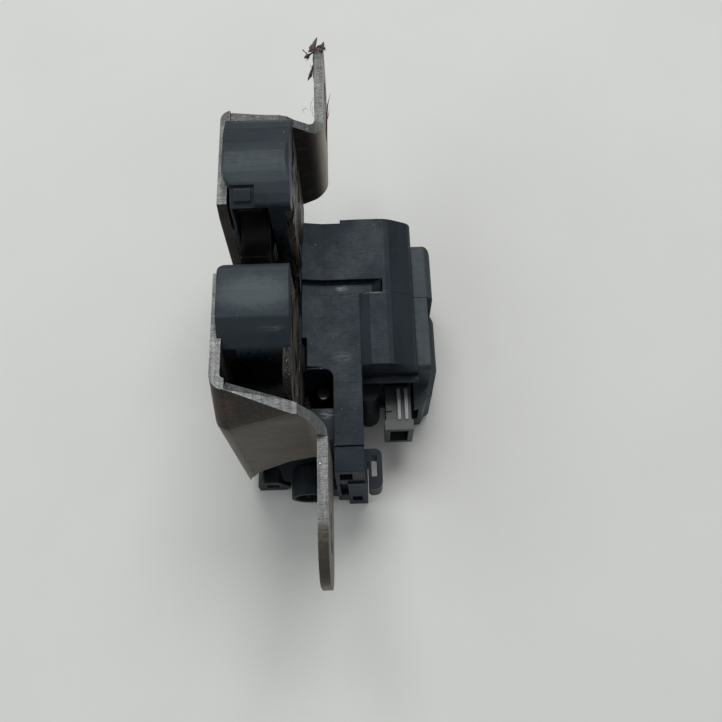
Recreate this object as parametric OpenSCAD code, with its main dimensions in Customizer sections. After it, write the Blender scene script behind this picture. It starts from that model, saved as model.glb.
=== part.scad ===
// Tailgate latch: a fork claw and pawl between two steel plates, with a motor drive on the back.
// Stands as it was laid on the table, with the striker mouth upwards.
// +Z is the way the striker comes out, +X runs from the base plate to the drive, +Y is the upper ear.
// All lengths are in mm and all angles in degrees.

/* [Base plate] */
// Thickness of the bent base plate
plate_t = 2.0; // [1.5:0.1:3]
// Where the outer face of the base plate stands in X
base_x = -22.7; // [-24:0.1:-21]
// Height of the front edge of the base plate
front_z = 57.5; // [54:0.5:60]
// Right face of both fixing ears in X
ear_x = -1.45; // [-4:0.05:0]
// Tip of each ear, measured from the middle
ear_tip = 62.4; // [58:0.1:66]
// Lower edge of the ears
ear_low = 28.2; // [24:0.1:32]
// Upper edge of the ears
ear_high = 50.2; // [46:0.1:54]
// Corner radius at the ear tips
ear_r = 8.5; // [4:0.5:10]
// Distance of each fixing hole from the middle
hole_y = 52.0; // [46:0.5:54]
// Radius of the fixing holes
hole_r = 4.2; // [3:0.1:5]

/* [Back plate and mouth] */
// Clear distance between base plate and back plate
plate_gap = 11.4; // [10:0.1:14]
// Thickness of the back plate
back_t = 1.5; // [1:0.1:2]
// Middle of the striker mouth in Y
mouth_y = 2.3; // [0:0.1:5]
// Width of the slot in both plates at its closed end
slot_w = 11.5; // [10:0.5:13]
// Width of the moulded mouth at its open end
mouth_w = 13.8; // [12:0.1:16]
// Lowest point of the slot in both plates
slot_z = 28.0; // [26:0.5:32]

/* [Claw and pawl] */
// Claw pivot in Y
claw_y = 17.5; // [16:0.1:20]
// Claw pivot in Z
claw_z = 38.0; // [36:0.1:42]
// Largest radius of the claw
claw_r = 20.8; // [19:0.1:21]
// Radius of the claw where the pawl rests in its notch
claw_notch_r = 17.8; // [17:0.1:19]
// Travel of the claw from open to locked
claw_travel = 62; // [50:1:70]
// Thickness of claw and pawl
claw_t = 5.0; // [4:0.1:6]
// Pawl pivot in Y
pawl_y = -12.5; // [-14:0.1:-11]
// Pawl pivot in Z
pawl_z = 31.0; // [28:0.1:33]
// Length of the pawl from its pivot to its nose
pawl_l = 20.9; // [20:0.1:23]
// Swing of the pawl from lifted to dropped
pawl_swing = 9; // [6:1:12]
// Length of the pawl's tail down to its drive stud
tail_l = 20; // [16:0.5:22]

/* [Drive] */
// Motor shaft in X
motor_x = 5.3; // [4:0.1:7]
// Motor shaft in Z
motor_z = 19.0; // [18:0.1:20]
// Radius of the motor can
motor_r = 9.4; // [8:0.1:10]
// Worm wheel axle in Y
wheel_y = -5.0; // [-6:0.1:-4]
// Number of teeth on the worm wheel
wheel_teeth = 20; // [16:1:24]
// Pitch of the worm thread
worm_pitch = 2.0; // [1.5:0.1:2.5]
// Turn of the worm wheel that lifts or drops the pawl
wheel_turn = 72; // [60:1:90]

/* [Hidden] */
$fn = 64;
inner_x = base_x + plate_t;
back_x = inner_x + plate_gap;
drive_x = back_x + back_t;
claw_x = inner_x + 2.1;
slot_r = slot_w / 2;
mouth_low = mouth_y - mouth_w / 2;
mouth_high = mouth_y + mouth_w / 2;
web_y = -34;
upper_web_y = 33.8;
bend_in = 2;
bend_out = bend_in + plate_t;
bend_x = ear_x - bend_out;
corner_r = 2.8;
lean_z = 49.5;
lean_angle = 33;
corner_y = -34.2;
crease_end_z = 58.8;
web_front_z = 53.8;
lap = 0.4;
nose_y = 19.3;
nose_z = 39.1;
nose_r = 22;
notch_end = 236;
tooth_end = 246;
safety_start = 262;
safety_end = 270;
nose_top = 61.2;
flange_in = 1.2;
back_shoulder = 1.6;
front_shoulder = 1;
striker_v = -3;
slot_half = 4.6;
claw_hub_r = 9.5;
claw_pin_r = 4.0;
pawl_pin_r = 3.0;
wheel_pitch_r = wheel_teeth * worm_pitch / (2 * PI);
worm_r = 2.85;
worm_core_r = 2.3;
worm_l = 11;
mesh_gap = 9.35;
wheel_z = motor_z - mesh_gap;
axle_r = 1.5;
stud_r = 1.5;
screw_r = 0.9;
screw_head_r = 1.7;
cam_high = 5.85;
cam_low = 2.7;
steel = [0.62, 0.62, 0.60];
dark_steel = [0.45, 0.43, 0.41];
zinc = [0.70, 0.70, 0.68];
black = [0.10, 0.11, 0.12];
grey_black = [0.16, 0.18, 0.19];
rubber = [0.05, 0.05, 0.05];
nylon = [0.82, 0.80, 0.72];
brass = [0.72, 0.58, 0.28];

function unit(v) = v / norm(v);

// Points of the arc that rounds corner b, between its neighbours a and c, with radius r
function corner(a, b, c, r) =
  let (u = unit(a - b), v = unit(c - b), half = acos(u * v) / 2, m = b + unit(u + v) * r / sin(half))
  let (p = b + u * r / tan(half) - m, q = b + v * r / tan(half) - m, s = atan2(p.y, p.x))
  let (turn = (atan2(q.y, q.x) - s + 540) % 360 - 180, n = max(2, ceil(abs(turn) / 10)))
  [for (i = [0:n]) m + r * [cos(s + turn * i / n), sin(s + turn * i / n)]];

// Outline through points [x, y, radius], each corner rounded by its own radius
function rounded(p) = [
  for (i = [0:len(p) - 1])
    let (a = p[(i + len(p) - 1) % len(p)], b = p[i], c = p[(i + 1) % len(p)])
    each b[2] > 0 ? corner([a.x, a.y], [b.x, b.y], [c.x, c.y], b[2]) : [[b.x, b.y]]
];

// Extrudes an outline drawn in Y and Z along X
module along_x(x0, x1) {
  translate([x0, 0, 0]) rotate([90, 0, 90]) linear_extrude(x1 - x0) children();
}

// Extrudes an outline drawn in X and Z along Y
module along_y(y0, y1) {
  translate([0, y1, 0]) rotate([90, 0, 0]) linear_extrude(y1 - y0) children();
}

// Box between two corners
module block(a, b) {
  translate(a) cube(b - a);
}

// Round bar along X
module bar_x(x0, x1, y, z, r) {
  translate([x0, y, z]) rotate([0, 90, 0]) cylinder(r = r, h = x1 - x0);
}

// Round bar along Y
module bar_y(y0, y1, x, z, r) {
  translate([x, y0, z]) rotate([-90, 0, 0]) cylinder(r = r, h = y1 - y0);
}

// Wedge of a circle from angle a0 to a1
module sector(r, a0, a1) {
  polygon(concat([[0, 0]], [for (i = [0:8]) let (a = a0 + (a1 - a0) * i / 8) 1.3 * r * [cos(a), sin(a)]]));
}

// Part of a ring between two radii and two angles
module ring_sector(r0, r1, a0, a1) {
  intersection() {
    difference() {
      circle(r = r1);
      circle(r = r0);
    }
    sector(r1, a0, a1);
  }
}

// Outline of the plate slot for the striker, drawn in Y and Z
module slot_2d() {
  translate([mouth_y, slot_z + slot_r]) circle(r = slot_r);
  polygon([
    [mouth_y - slot_r, slot_z + slot_r], [mouth_y + slot_r, slot_z + slot_r],
    [mouth_high + 0.3, front_z - 4], [mouth_high + 1.6, front_z + 1],
    [mouth_low - 0.6, front_z + 1], [mouth_low - 0.3, front_z - 5]
  ]);
}

// Flat of the base plate, drawn in Y and Z
module base_outline() {
  difference() {
    polygon(rounded([
      [corner_y + corner_r, 1.5, 0], [corner_y + corner_r, lean_z - 1.5, 0], [-31.8, lean_z - 0.9, 0],
      [-26.1, front_z, 0], [31.3, front_z, 0], [31.3, 8, 0], [14, 1.5, 6]
    ]));
    slot_2d();
  }
}

// Lower web: an upright sheet, folded along a slanting crease so that its front corner leans in over the flat
module lower_web() {
  start_x = base_x + corner_r;
  foot = [start_x, corner_y + 0.06, lean_z];
  peak = foot + (front_z - lean_z) * [0, tan(lean_angle), 1];
  end = [bend_x, web_y, crease_end_z];
  slope = (web_y - foot.y) / (bend_x - start_x);
  climb = (crease_end_z - lean_z) / (bend_x - start_x);
  thick = plate_t * sqrt(1 + slope * slope);
  difference() {
    linear_extrude(front_z) polygon([
      [start_x - lap, foot.y - lap * slope], [bend_x, web_y],
      [bend_x, web_y + thick], [start_x - lap, foot.y - lap * slope + thick]
    ]);
    along_y(corner_y - 5, corner_y + 5) polygon([
      [start_x - 1, lean_z - climb + 0.05], [bend_x + 1, crease_end_z + climb + 0.05],
      [start_x - 1, front_z + 2]
    ]);
  }
  run = norm([end.x - foot.x, end.y - foot.y]);
  turn = atan2(end.y - foot.y, end.x - foot.x);
  crease = norm(end - foot);
  along = (peak - foot) * (end - foot) / crease;
  across = sqrt((peak - foot) * (peak - foot) - along * along);
  lean = asin((peak - foot) * [-sin(turn), cos(turn), 0] / across);
  side = lap * [-across, along] / norm([along, across]);
  translate(foot) rotate([0, 0, turn]) rotate([0, -atan2(end.z - foot.z, run), 0]) rotate([-lean, 0, 0])
  along_y(0.03, plate_t) polygon([[0, -0.1], side, [along, across] + side, [along, across], [crease, -0.1]]);
}

// Quarter bend between two sheets at right angles, seen from above, opening from angle a
module bend_2d(r_in, r_out, a) {
  rotate(a) intersection() {
    difference() {
      circle(r = r_out);
      circle(r = r_in);
    }
    square(r_out);
  }
}

// Slab above or below the mitre between the upright bend and the leaning bend
module mitre_half(z0) {
  translate([base_x - 1, corner_y, lean_z]) rotate([-lean_angle / 2, 0, 0])
  translate([0, -2, z0]) cube([6, 8, 6]);
}

// Flat of the base plate with the lower web and ear bent from it
module lower_sheet() {
  union() {
    along_x(base_x, inner_x) base_outline();
    // Bend from flat to web, which leans with the web above a mitre
    difference() {
      translate([base_x + corner_r, corner_y + corner_r, 0]) linear_extrude(lean_z + 1)
      bend_2d(corner_r - plate_t, corner_r, 180);
      mitre_half(0);
    }
    difference() {
      translate([0, corner_y, lean_z]) rotate([-lean_angle, 0, 0])
      translate([base_x + corner_r, corner_r, -1.5]) linear_extrude(15)
      bend_2d(corner_r - plate_t + 0.06, corner_r - 0.06, 180);
      translate([0, 0, -0.1]) mitre_half(-6);
    }
    lower_web();
    translate([bend_x, web_y - bend_in, 0]) linear_extrude(front_z) bend_2d(bend_in, bend_out, 0);
    along_x(ear_x - plate_t, ear_x) polygon(rounded([
      [web_y - bend_in, ear_low, 0], [web_y - bend_in, ear_high, 0],
      [-ear_tip, ear_high, ear_r], [-ear_tip, ear_low, ear_r]
    ]));
  }
}

// Upper web with its two bends and the upper ear
module upper_sheet() {
  union() {
    block([base_x + 2.5, upper_web_y - plate_t, 0], [bend_x, upper_web_y, front_z]);
    translate([base_x + 2.5, 31.3, 0]) linear_extrude(front_z) bend_2d(0.5, 2.5, 90);
    translate([bend_x, upper_web_y + bend_in, 0]) linear_extrude(front_z) bend_2d(bend_in, bend_out, 270);
    along_x(ear_x - plate_t, ear_x) polygon(rounded([
      [upper_web_y + bend_in, ear_low, 0], [ear_tip, ear_low, ear_r],
      [ear_tip, ear_high, ear_r], [upper_web_y + bend_in, ear_high, 0]
    ]));
  }
}

module frame_plate() {
  color(steel)
  difference() {
    union() {
      lower_sheet();
      upper_sheet();
    }
    // The leaning bend ends level with the flat
    block([base_x - 1, -40, front_z], [0, -20, front_z + 6]);
    // Back and front edges of the lower web
    along_y(-40, -27.6) polygon([
      [base_x - 1, -1], [base_x - 1, 4.5], [base_x + 0.8, 6.5], [-21, 11.6], [-18.4, 17.4], [-10.6, 25.6],
      [bend_x, ear_low], [ear_x + 1, ear_low], [ear_x + 1, -1]
    ]);
    along_y(-40, -28.5) polygon([
      [bend_x - 1.6, front_z + 1], [bend_x + 0.6, web_front_z],
      [ear_x - 1.6, ear_high + 1.2], [ear_x, ear_high],
      [1, ear_high], [1, front_z + 1]
    ]);
    // Back and front edges of the upper web
    along_y(31, 36) polygon([
      [base_x - 1, -1], [base_x - 1, 8], [base_x + 2.5, 10], [-8.3, 24.3], [bend_x, 26],
      [ear_x - 1.2, ear_low - 0.8], [ear_x + 1, ear_low], [ear_x + 1, -1]
    ]);
    along_y(31, 36) polygon([
      [base_x + 2, front_z + 1], [base_x + 2, 56.7], [-17.6, 56.3], [-14.9, 55.9], [-10.8, 55.6], [-9, 55.1],
      [-7.7, 54], [bend_x, 52.8], [ear_x - 2, ear_high + 0.9], [ear_x, ear_high],
      [1, ear_high], [1, front_z + 1]
    ]);
    // Fixing holes and rivet seats
    bar_x(ear_x - plate_t - 1, ear_x + 1, hole_y, 39.2, hole_r);
    bar_x(ear_x - plate_t - 1, ear_x + 1, -hole_y, 39.2, hole_r);
    bar_x(base_x - 1, inner_x + 1, claw_y, claw_z, claw_pin_r);
    bar_x(base_x - 1, inner_x + 1, pawl_y, pawl_z, pawl_pin_r);
    // Locating hole for the peg of the moulding, and a tooling hole
    bar_x(base_x - 1, inner_x + 1, 26, 14, 1.6);
    bar_x(base_x - 1, inner_x + 1, -22, 20, 2.5);
  }
}

module back_plate() {
  color(dark_steel)
  difference() {
    along_x(back_x, drive_x) difference() {
      polygon(rounded([
        [-29.2, 33, 3], [-29.2, 53.2, 2], [-26, 56.2, 2], [31.4, 56.2, 2], [31.4, 24, 3],
        [8, 22.5, 2], [-18, 22.5, 3]
      ]));
      slot_2d();
    }
    bar_x(back_x - 1, drive_x + 1, claw_y, claw_z, claw_pin_r);
    bar_x(back_x - 1, drive_x + 1, pawl_y, pawl_z, pawl_pin_r);
  }
}

// Side view of both noses with the mouth between them, and of the body behind, drawn in Y and Z
module housing_outline() {
  arc_from = acos((31.6 - nose_y) / nose_r);
  arc_to = acos((mouth_high - nose_y) / nose_r);
  polygon(rounded(concat(
    [[-21.4, 4.5, 1], [20, 4.5, 4], [31.6, 16, 4]],
    [for (i = [0:10]) let (a = arc_from + (arc_to - arc_from) * i / 10)
      [nose_y + nose_r * cos(a), nose_z + nose_r * sin(a), i == 0 ? 2.5 : i == 10 ? 1.2 : 0]],
    [
      [mouth_high, 50, 0], [mouth_high - 1.2, slot_z - 1, 4],
      [mouth_low + 1.2, slot_z - 1, 4], [mouth_low, 50, 0], [mouth_low, 60.8, 1.6], [-9, nose_top, 12],
      [-15.8, 60, 0.8], [-21.4, 55.4, 4]
    ]
  )));
}

// What is cut off a nose to round its shoulder at x, towards dir in X, drawn in X and Z
module shoulder_cut(x, dir, r) {
  difference() {
    translate([x - dir * (3 - r) / 2, nose_top + 1.5]) square([3 + r, 3 + 2 * r], center = true);
    translate([x + dir * r, nose_top - r]) circle(r = r);
  }
}

// Rectangle from y0 to y1 and z0 to z1
module block_2d(y0, y1, z0, z1) {
  translate([y0, z0]) square([y1 - y0, z1 - z0]);
}

// Space for claw and pawl, drawn in Y and Z
module works_outline() {
  intersection() {
    translate([claw_y, claw_z]) circle(r = claw_r + 0.55);
    block_2d(-10, 30, 12, 60);
  }
  polygon(rounded([
    [-18.9, 6.8, 1], [9, 6.8, 1], [14, 17, 0], [mouth_low - 0.5, 34, 0], [-6.2, 45, 3], [-18.9, 45, 3]
  ]));
}

// Stretch of the upper nose's skin between two radii, where the snap tab sits, drawn in Y and Z
module nose_skin(r0, r1, y0, y1) {
  intersection() {
    translate([nose_y, nose_z]) difference() {
      circle(r = r1);
      circle(r = r0);
    }
    block_2d(y0, y1, 50, 64);
  }
}

module latch_housing() {
  color(black)
  difference() {
    union() {
      difference() {
        along_x(base_x + flange_in, drive_x) housing_outline();
        // Rounded shoulders of both noses
        along_y(-40, 40) shoulder_cut(drive_x, -1, back_shoulder);
        along_y(-40, 40) shoulder_cut(base_x + flange_in, 1, front_shoulder);
        // Room for the two plates
        block([base_x - 1, -40, -1], [inner_x, 40, front_z]);
        block([back_x, -40, -1], [drive_x + 1, 40, 56.2]);
        // Flange of the upper nose slants back short of the mouth
        translate([0, 0, 50]) linear_extrude(12) polygon([
          [base_x - 1, mouth_high - 2], [base_x - 1, 16.6], [base_x + flange_in, 16.4],
          [inner_x + 0.8, 13.4], [inner_x + 0.8, mouth_high - 2]
        ]);
        // Rounded corner of the lower nose beside the mouth
        translate([0, 0, front_z + 0.1]) linear_extrude(5) difference() {
          block_2d(base_x - 1, base_x + flange_in + 2.6, mouth_low - 2.6, mouth_low + 1);
          translate([base_x + flange_in + 2.6, mouth_low - 2.6]) circle(r = 2.6);
        }
        // Notch at the lower end of the lower nose
        block([base_x - 1, -24, 44], [inner_x + 2.6, -20.5, 62]);
        // Space for the works, with a cheek left standing along the mouth
        difference() {
          along_x(inner_x + 1.2, back_x + 1) works_outline();
          along_x(back_x - 3, back_x + 2) mouth_cheek();
        }
        // Cored-out lower nose
        along_x(inner_x + 1.4, back_x + 1) polygon(rounded([
          [-18.2, 47, 1], [-6.6, 47, 1], [-6.6, 57.4, 2], [-15, 57.4, 2], [-18.2, 54.6, 2]
        ]));
        // Groove around the snap tab
        along_x(inner_x + 0.7, inner_x + 5.8) nose_skin(nose_r - 0.7, nose_r + 1, 9, 13.1);
      }
      // Snap tab
      along_x(inner_x + 1.7, inner_x + 5.1) nose_skin(nose_r - 0.9, nose_r - 0.05, 10.1, 12.4);
      // Pegs in the base plate
      bar_x(base_x + 0.2, inner_x + 0.5, 26, 14, 1.5);
      // Skirt that meets the tail of the drive housing under the lower web
      block([inner_x + 0.4, -27.5, 8.5], [back_x - 0.2, -19.9, 13]);
    }
    // Rivet bores
    bar_x(base_x, drive_x, claw_y, claw_z, claw_pin_r);
    bar_x(base_x, drive_x, pawl_y, pawl_z, pawl_pin_r);
  }
}

// Wall left standing around the mouth beside the claw, drawn in Y and Z
module mouth_cheek() {
  polygon([
    [mouth_low - 1.6, 57], [mouth_low - 0.6, slot_z - 3],
    [mouth_high + 0.6, slot_z - 3], [mouth_high + 1.6, 60], [mouth_low + 2, 60]
  ]);
}

module mouth_buffer() {
  color(rubber)
  along_x(back_x - 2.8, back_x - 0.2) polygon(rounded([
    [-1.9, slot_z - 1, 3], [6.5, slot_z - 1, 3], [6.5, 30.9, 0.5], [mouth_y, 31.6, 3], [-1.9, 30.9, 0.5]
  ]));
}

// Claw seen along X in its locked position, about its pivot
module claw_2d() {
  difference() {
    union() {
      circle(r = claw_hub_r);
      intersection() {
        circle(r = claw_r);
        sector(claw_r, 158, safety_end);
      }
    }
    // Fork gap for the striker
    translate([-17.3, striker_v]) circle(r = slot_half);
    translate([-30, striker_v - slot_half]) square([12.7, 2 * slot_half]);
    // Notches that the pawl drops into
    ring_sector(claw_notch_r, claw_r + 1, 190, notch_end);
    ring_sector(claw_notch_r, claw_r + 1, tooth_end, safety_start);
  }
}

// Places what is drawn about the claw pivot in its open position
module claw_at(x) {
  translate([x, claw_y, claw_z]) rotate([-claw_travel, 0, 0]) children();
}

module claw() {
  color(dark_steel)
  claw_at(claw_x) difference() {
    along_x(0, claw_t) difference() {
      claw_2d();
      circle(r = claw_pin_r + 0.05);
      translate([-13.6, 3.4]) circle(r = 1.2);
      translate([-11.2, -11.2]) circle(r = 1.2);
    }
    // Seat of the spring leg
    bar_x(claw_t - 1.6, claw_t + 1, 6.9, 0, 0.8);
  }
}

// Moulded skin of the claw, drawn about its pivot
module jacket_2d() {
  difference() {
    intersection() {
      circle(r = claw_r - 0.7);
      sector(claw_r, 160, 234);
    }
    circle(r = claw_hub_r + 0.6);
    translate([-17.3, striker_v]) circle(r = slot_half + 0.3);
    translate([-30, striker_v - slot_half - 0.3]) square([12.7, 2 * slot_half + 0.6]);
    ring_sector(claw_notch_r - 0.6, claw_r + 1, 190, 240);
  }
}

module claw_jacket() {
  color(black)
  claw_at(claw_x) {
    along_x(-0.6, 0) jacket_2d();
    along_x(claw_t, claw_t + 0.6) jacket_2d();
    bar_x(-0.3, claw_t + 0.3, -13.6, 3.4, 1.2);
    bar_x(-0.3, claw_t + 0.3, -11.2, -11.2, 1.2);
  }
}

// Rivet with a low head outside the base plate, a journal and a flush tail
module rivet(y, z, r, head_r) {
  difference() {
    union() {
      bar_x(base_x, drive_x, y, z, r);
      translate([base_x - 0.8, y, z]) rotate([0, 90, 0]) cylinder(r1 = head_r - 0.6, r2 = head_r, h = 0.8);
      translate([drive_x, y, z]) rotate([0, 90, 0]) cylinder(r1 = r + 0.9, r2 = r - 0.4, h = 0.7);
    }
    translate([base_x - 1.3, y, z]) rotate([0, 90, 0]) cylinder(r1 = 2, r2 = 0.4, h = 1.2);
  }
}

module claw_rivet() {
  color(zinc) rivet(claw_y, claw_z, claw_pin_r, 6.5);
}

module pawl_rivet() {
  color(zinc) rivet(pawl_y, pawl_z, pawl_pin_r, 5.2);
}

// Close-wound torsion spring around a rivet, with a straight leg at each end
module torsion_spring(x0, y, z, r, wire, leg_a, leg_b, leg_l) {
  turns = 3;
  step = wire * 1.7;
  translate([x0, y, z]) {
    for (i = [0:turns - 1])
      translate([i * step, 0, 0]) rotate([0, 90, 0]) rotate_extrude()
      translate([r, 0]) circle(r = wire, $fn = 24);
    rotate([leg_a, 0, 0]) bar_y(0, leg_l, 0, -r, wire * 0.98);
    rotate([leg_b, 0, 0]) bar_y(0, leg_l, (turns - 1) * step, r, wire * 0.98);
  }
}

module claw_spring() {
  color(zinc) torsion_spring(claw_x + claw_t + 1.1, claw_y, claw_z, 5.1, 0.5, 40, -30, 7);
}

module pawl_spring() {
  color(zinc) torsion_spring(claw_x + claw_t + 1.1, pawl_y, pawl_z, 4.0, 0.45, 20, 200, 5);
}

// Pawl seen along X in its lifted position, about its pivot
module pawl_2d() {
  difference() {
    union() {
      circle(r = 5.8);
      rotate(-24 - pawl_swing) polygon(rounded([
        [0, 5.0, 0], [0, -5.2, 0], [12, -4.4, 4], [pawl_l, -3.4, 1.2], [pawl_l, 2.4, 0.4], [14, 4.4, 2]
      ]));
      polygon(rounded([
        [-4.6, 0, 0], [-3.2, -tail_l - 2.6, 1.6], [3.0, -tail_l - 2.6, 1.6], [4.8, -4, 4], [4.8, 0, 0]
      ]));
    }
    translate([claw_y - pawl_y, claw_z - pawl_z]) circle(r = claw_r + 1);
    // Dropped, it clears the last tooth of the open claw
    rotate(-pawl_swing) translate([claw_y - pawl_y, claw_z - pawl_z]) intersection() {
      circle(r = claw_r + 0.4);
      sector(claw_r, 170, safety_end - claw_travel + 2);
    }
  }
}

module pawl() {
  color(dark_steel)
  difference() {
    union() {
      translate([0, pawl_y, pawl_z]) along_x(claw_x, claw_x + claw_t) pawl_2d();
      // Drive stud
      bar_x(claw_x + claw_t - 0.5, -3.6, pawl_y, pawl_z - tail_l, stud_r);
      bar_x(claw_x + claw_t - 0.5, claw_x + claw_t + 0.8, pawl_y, pawl_z - tail_l, stud_r + 0.9);
    }
    bar_x(claw_x - 1, claw_x + claw_t + 1, pawl_y, pawl_z, pawl_pin_r + 0.05);
  }
}

// Outer shape of the drive housing towards the mouth end, drawn in X and Z
module cover_outline(left_z, step_x, crown_z) {
  polygon(rounded([
    [drive_x, 2.2, 0], [17.3, 2.2, 0], [17.3, 26, 0], [17.9, 26.1, 0], [17.9, 28.5, 2.5], [12, crown_z, 8],
    [step_x + 1.2, crown_z, 0], [step_x - 1.2, left_z, 0], [-3, left_z, 0], [drive_x, left_z + 0.8, 0]
  ]));
}

// Steel pin seen in the window beside the arm, drawn from above
module window_pin_at() {
  translate([-3.6, -17.2, 0]) children();
}

module actuator_cover() {
  color(grey_black)
  difference() {
    union() {
      along_y(6.7, 22.6) cover_outline(31.3, 3, 31.4);
      along_y(3.4, 6.7) cover_outline(29.8, 9.4, 31.4);
      along_y(-14.3, 3.4) cover_outline(30.4, 6.4, 31.3);
      // Arm
      block([-1, -32.3, 2.2], [5.3, -14, 30.4]);
      block([drive_x + 0.1, -30.2, 2.2], [-0.9, -23, 27.6]);
      // Rounded wall on the inner side of the window
      block([drive_x + 0.1, -17, 2.2], [-0.9, -14.2, 30.4]);
      // Ledge under the overhang
      block([5.3, -15.4, 21.6], [18.3, -13, 23]);
    }
    window_cut();
    // The end wall stands back beside the plates
    block([drive_x - 1, 21.7, 27], [1.2, 23, 33]);
    // Overhang above the connector
    block([5.31, -20, 2], [17.31, -13.2, 21.6]);
    block([5.31, -14.31, 23], [17.4, -13.6, 25.5]);
    // Motor chamber
    bar_y(1.4, 21.2, motor_x, motor_z, motor_r + 0.5);
    block([motor_x - motor_r - 0.5, 1.4, 10.1], [motor_x + motor_r + 0.5, 21.2, motor_z]);
    block([-2.6, 1.4, 1], [11.8, 21.2, 10.2]);
    // Gear chamber
    block([drive_x + 1.4, -12.2, 1], [11.8, 1.5, 23.5]);
    // Way in for the pawl's stud
    block([drive_x - 1, -14.3, 6.6], [-3.2, -4.6, 15.6]);
    // Chamber of the arm, shorter at the foot where the screw goes in
    block([0, -30.8, 7.6], [4, -13, 24]);
    block([0, -28.6, 1], [4, -13, 7.7]);
    // Clearance of the rivet tail
    bar_x(drive_x - 1, drive_x + 1.1, pawl_y, pawl_z, 5);
    // Screw holes
    base_screw_places() translate([0, 0, 1]) cylinder(r = screw_r, h = 6.2);
    // Bore of the wheel axle
    bar_x(drive_x - 1, 16.6, wheel_y, wheel_z, axle_r);
  }
}

// Window between back plate and arm, with its rounded inner corner
module window_cut() {
  difference() {
    block([drive_x - 1, -23, -1], [-1, -14.8, 40]);
    translate([0, 0, -2]) linear_extrude(50) difference() {
      block_2d(-3, -0.9, -16.8, -14.7);
      translate([-3, -16.8]) circle(r = 2);
    }
  }
}

module base_screw_places() {
  for (p = [[-5.2, 18.5], [14.6, 18.5], [14.6, -9.5], [2, -30.2]]) translate([p.x, p.y, 0]) children();
}

module actuator_base() {
  color(black)
  difference() {
    union() {
      block([drive_x, -14, 0.3], [17.3, 22.4, 2.2]);
      block([drive_x, -32.3, 0.3], [5.3, -14, 2.2]);
      // Feet that the latch stands on
      block([drive_x + 0.5, 14, 0], [-1, 22, 0.4]);
      block([10, 14, 0], [17, 22, 0.4]);
      block([10, -13.5, 0], [17, -8, 0.4]);
      // Post beside the arm
      difference() {
        translate([6.7, -16.2, 0.3]) cylinder(r = 2.8, h = 19.7);
        block([2, -20, 2.2], [5.35, -13, 21]);
      }
      // Tail under the lower web
      difference() {
        along_x(inner_x + 0.3, drive_x) polygon(rounded([
          [-33.6, 0.3, 1], [-33.6, 6.2, 1], [-29, 8.3, 1], [-24, 8.3, 0], [-24, 0.3, 0]
        ]));
        along_y(-40, -20) polygon([
          [-14, -1], [-14, 2.4], [-11.5, 4.4], [drive_x + 1, 4.4], [drive_x + 1, -1]
        ]);
        // Room for the slanting edge of the lower web
        along_y(-40, -27.3) polygon([[-21, 3.2], [-20.4, 4.4], [-19, 7.2], [-17.4, 8.6], [-21, 9]]);
      }
      // Hook at the end of the tail
      along_y(-34.4, -28) polygon(rounded([
        [inner_x + 0.2, 0, 0], [-14, 0, 1], [-12.6, 3, 1], [-15.2, 7.6, 1], [-18.6, 7.6, 1],
        [inner_x + 0.2, 4.2, 0]
      ]));
      // Ribbed cable nozzle
      bar_y(-37.8, -31, -7.6, 5.0, 4.7);
      block([-8.4, -34, 0.3], [-1.2, -30.2, 8]);
    }
    // Bore of the nozzle with its cross ribs
    difference() {
      bar_y(-38, -33.5, -7.6, 5.0, 3.7);
      block([-8.9, -36.8, 0], [-8.2, -33, 10]);
      block([-6.4, -36.8, 0], [-5.7, -33, 10]);
    }
    block([-18.4, -35, 2.6], [-15.4, -31.6, 5.2]);
    base_screw_places() translate([0, 0, -1]) cylinder(r = screw_r + 0.15, h = 4);
    base_screw_places() translate([0, 0, -1]) cylinder(r = screw_head_r + 0.2, h = 2);
    // Drain slots
    for (y = [-4, 0, 4, 8]) block([5, y, 0], [12, y + 1.2, 3]);
  }
}

module arm_cap() {
  color(grey_black)
  difference() {
    union() {
      block([-1.1, -37.9, 2.4], [5.3, -32.5, 30]);
      block([1.4, -38.4, 0], [5.9, -33.4, 21]);
      block([-2.8, -36.6, 1], [-1, -34.4, 8]);
    }
    block([-0.2, -38.6, 22.6], [2.6, -36.2, 27.8]);
    block([-0.4, -38.6, 8], [1.5, -36.4, 19.4]);
    block([2.2, -39, 3.6], [4.6, -37.4, 8.4]);
    block([0.2, -36.3, 4], [3.8, -32, 24]);
  }
}

module side_cover() {
  color(black)
  difference() {
    union() {
      along_x(17.4, 21.1) polygon(rounded([
        [-13.6, 0.4, 0], [-13.6, 25.6, 1.2], [17.6, 25.6, 2], [17.6, 3, 0], [-2, 0.4, 0]
      ]));
      along_y(4.4, 18) polygon(rounded([[17.4, 3, 0], [22.5, 3, 1], [22.5, 25.7, 1.8], [17.4, 25.7, 0]]));
      along_y(-20, 4.8) polygon(rounded([
        [14.4, 0, 1], [21, 0, 2], [23.5, 6, 1], [23.5, 13, 1.5], [21, 15, 0], [17.4, 15, 0], [17.4, 4, 0]
      ]));
    }
    // Bevels at both ends of the lower block
    along_z_cut([[23.6, 5], [22.7, 4.9], [23.6, 3.4]]);
    along_z_cut([
      [14, -20.1], [23.6, -20.1], [23.6, -8.6], [21.7, -16.4], [20.5, -16.9], [19.6, -18.6], [17, -18.9]
    ]);
    // Rounded upper corner
    along_z_cut([[22.7, 18.1], [20.6, 18.1], [21.5, 17.8], [22.2, 17.1], [22.6, 15.8]]);
    block([14, -14.2, -1], [17.4, 5, 16]);
    // Recess towards the connector
    block([14, -21, 5], [18.6, -15.6, 12]);
    // Inside of the cover
    block([17, -11.5, 3], [19.6, 16, 23.6]);
  }
}

// Cut straight down through everything, outline seen from above
module along_z_cut(points) {
  translate([0, 0, -1]) linear_extrude(40) polygon(points);
}

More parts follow.
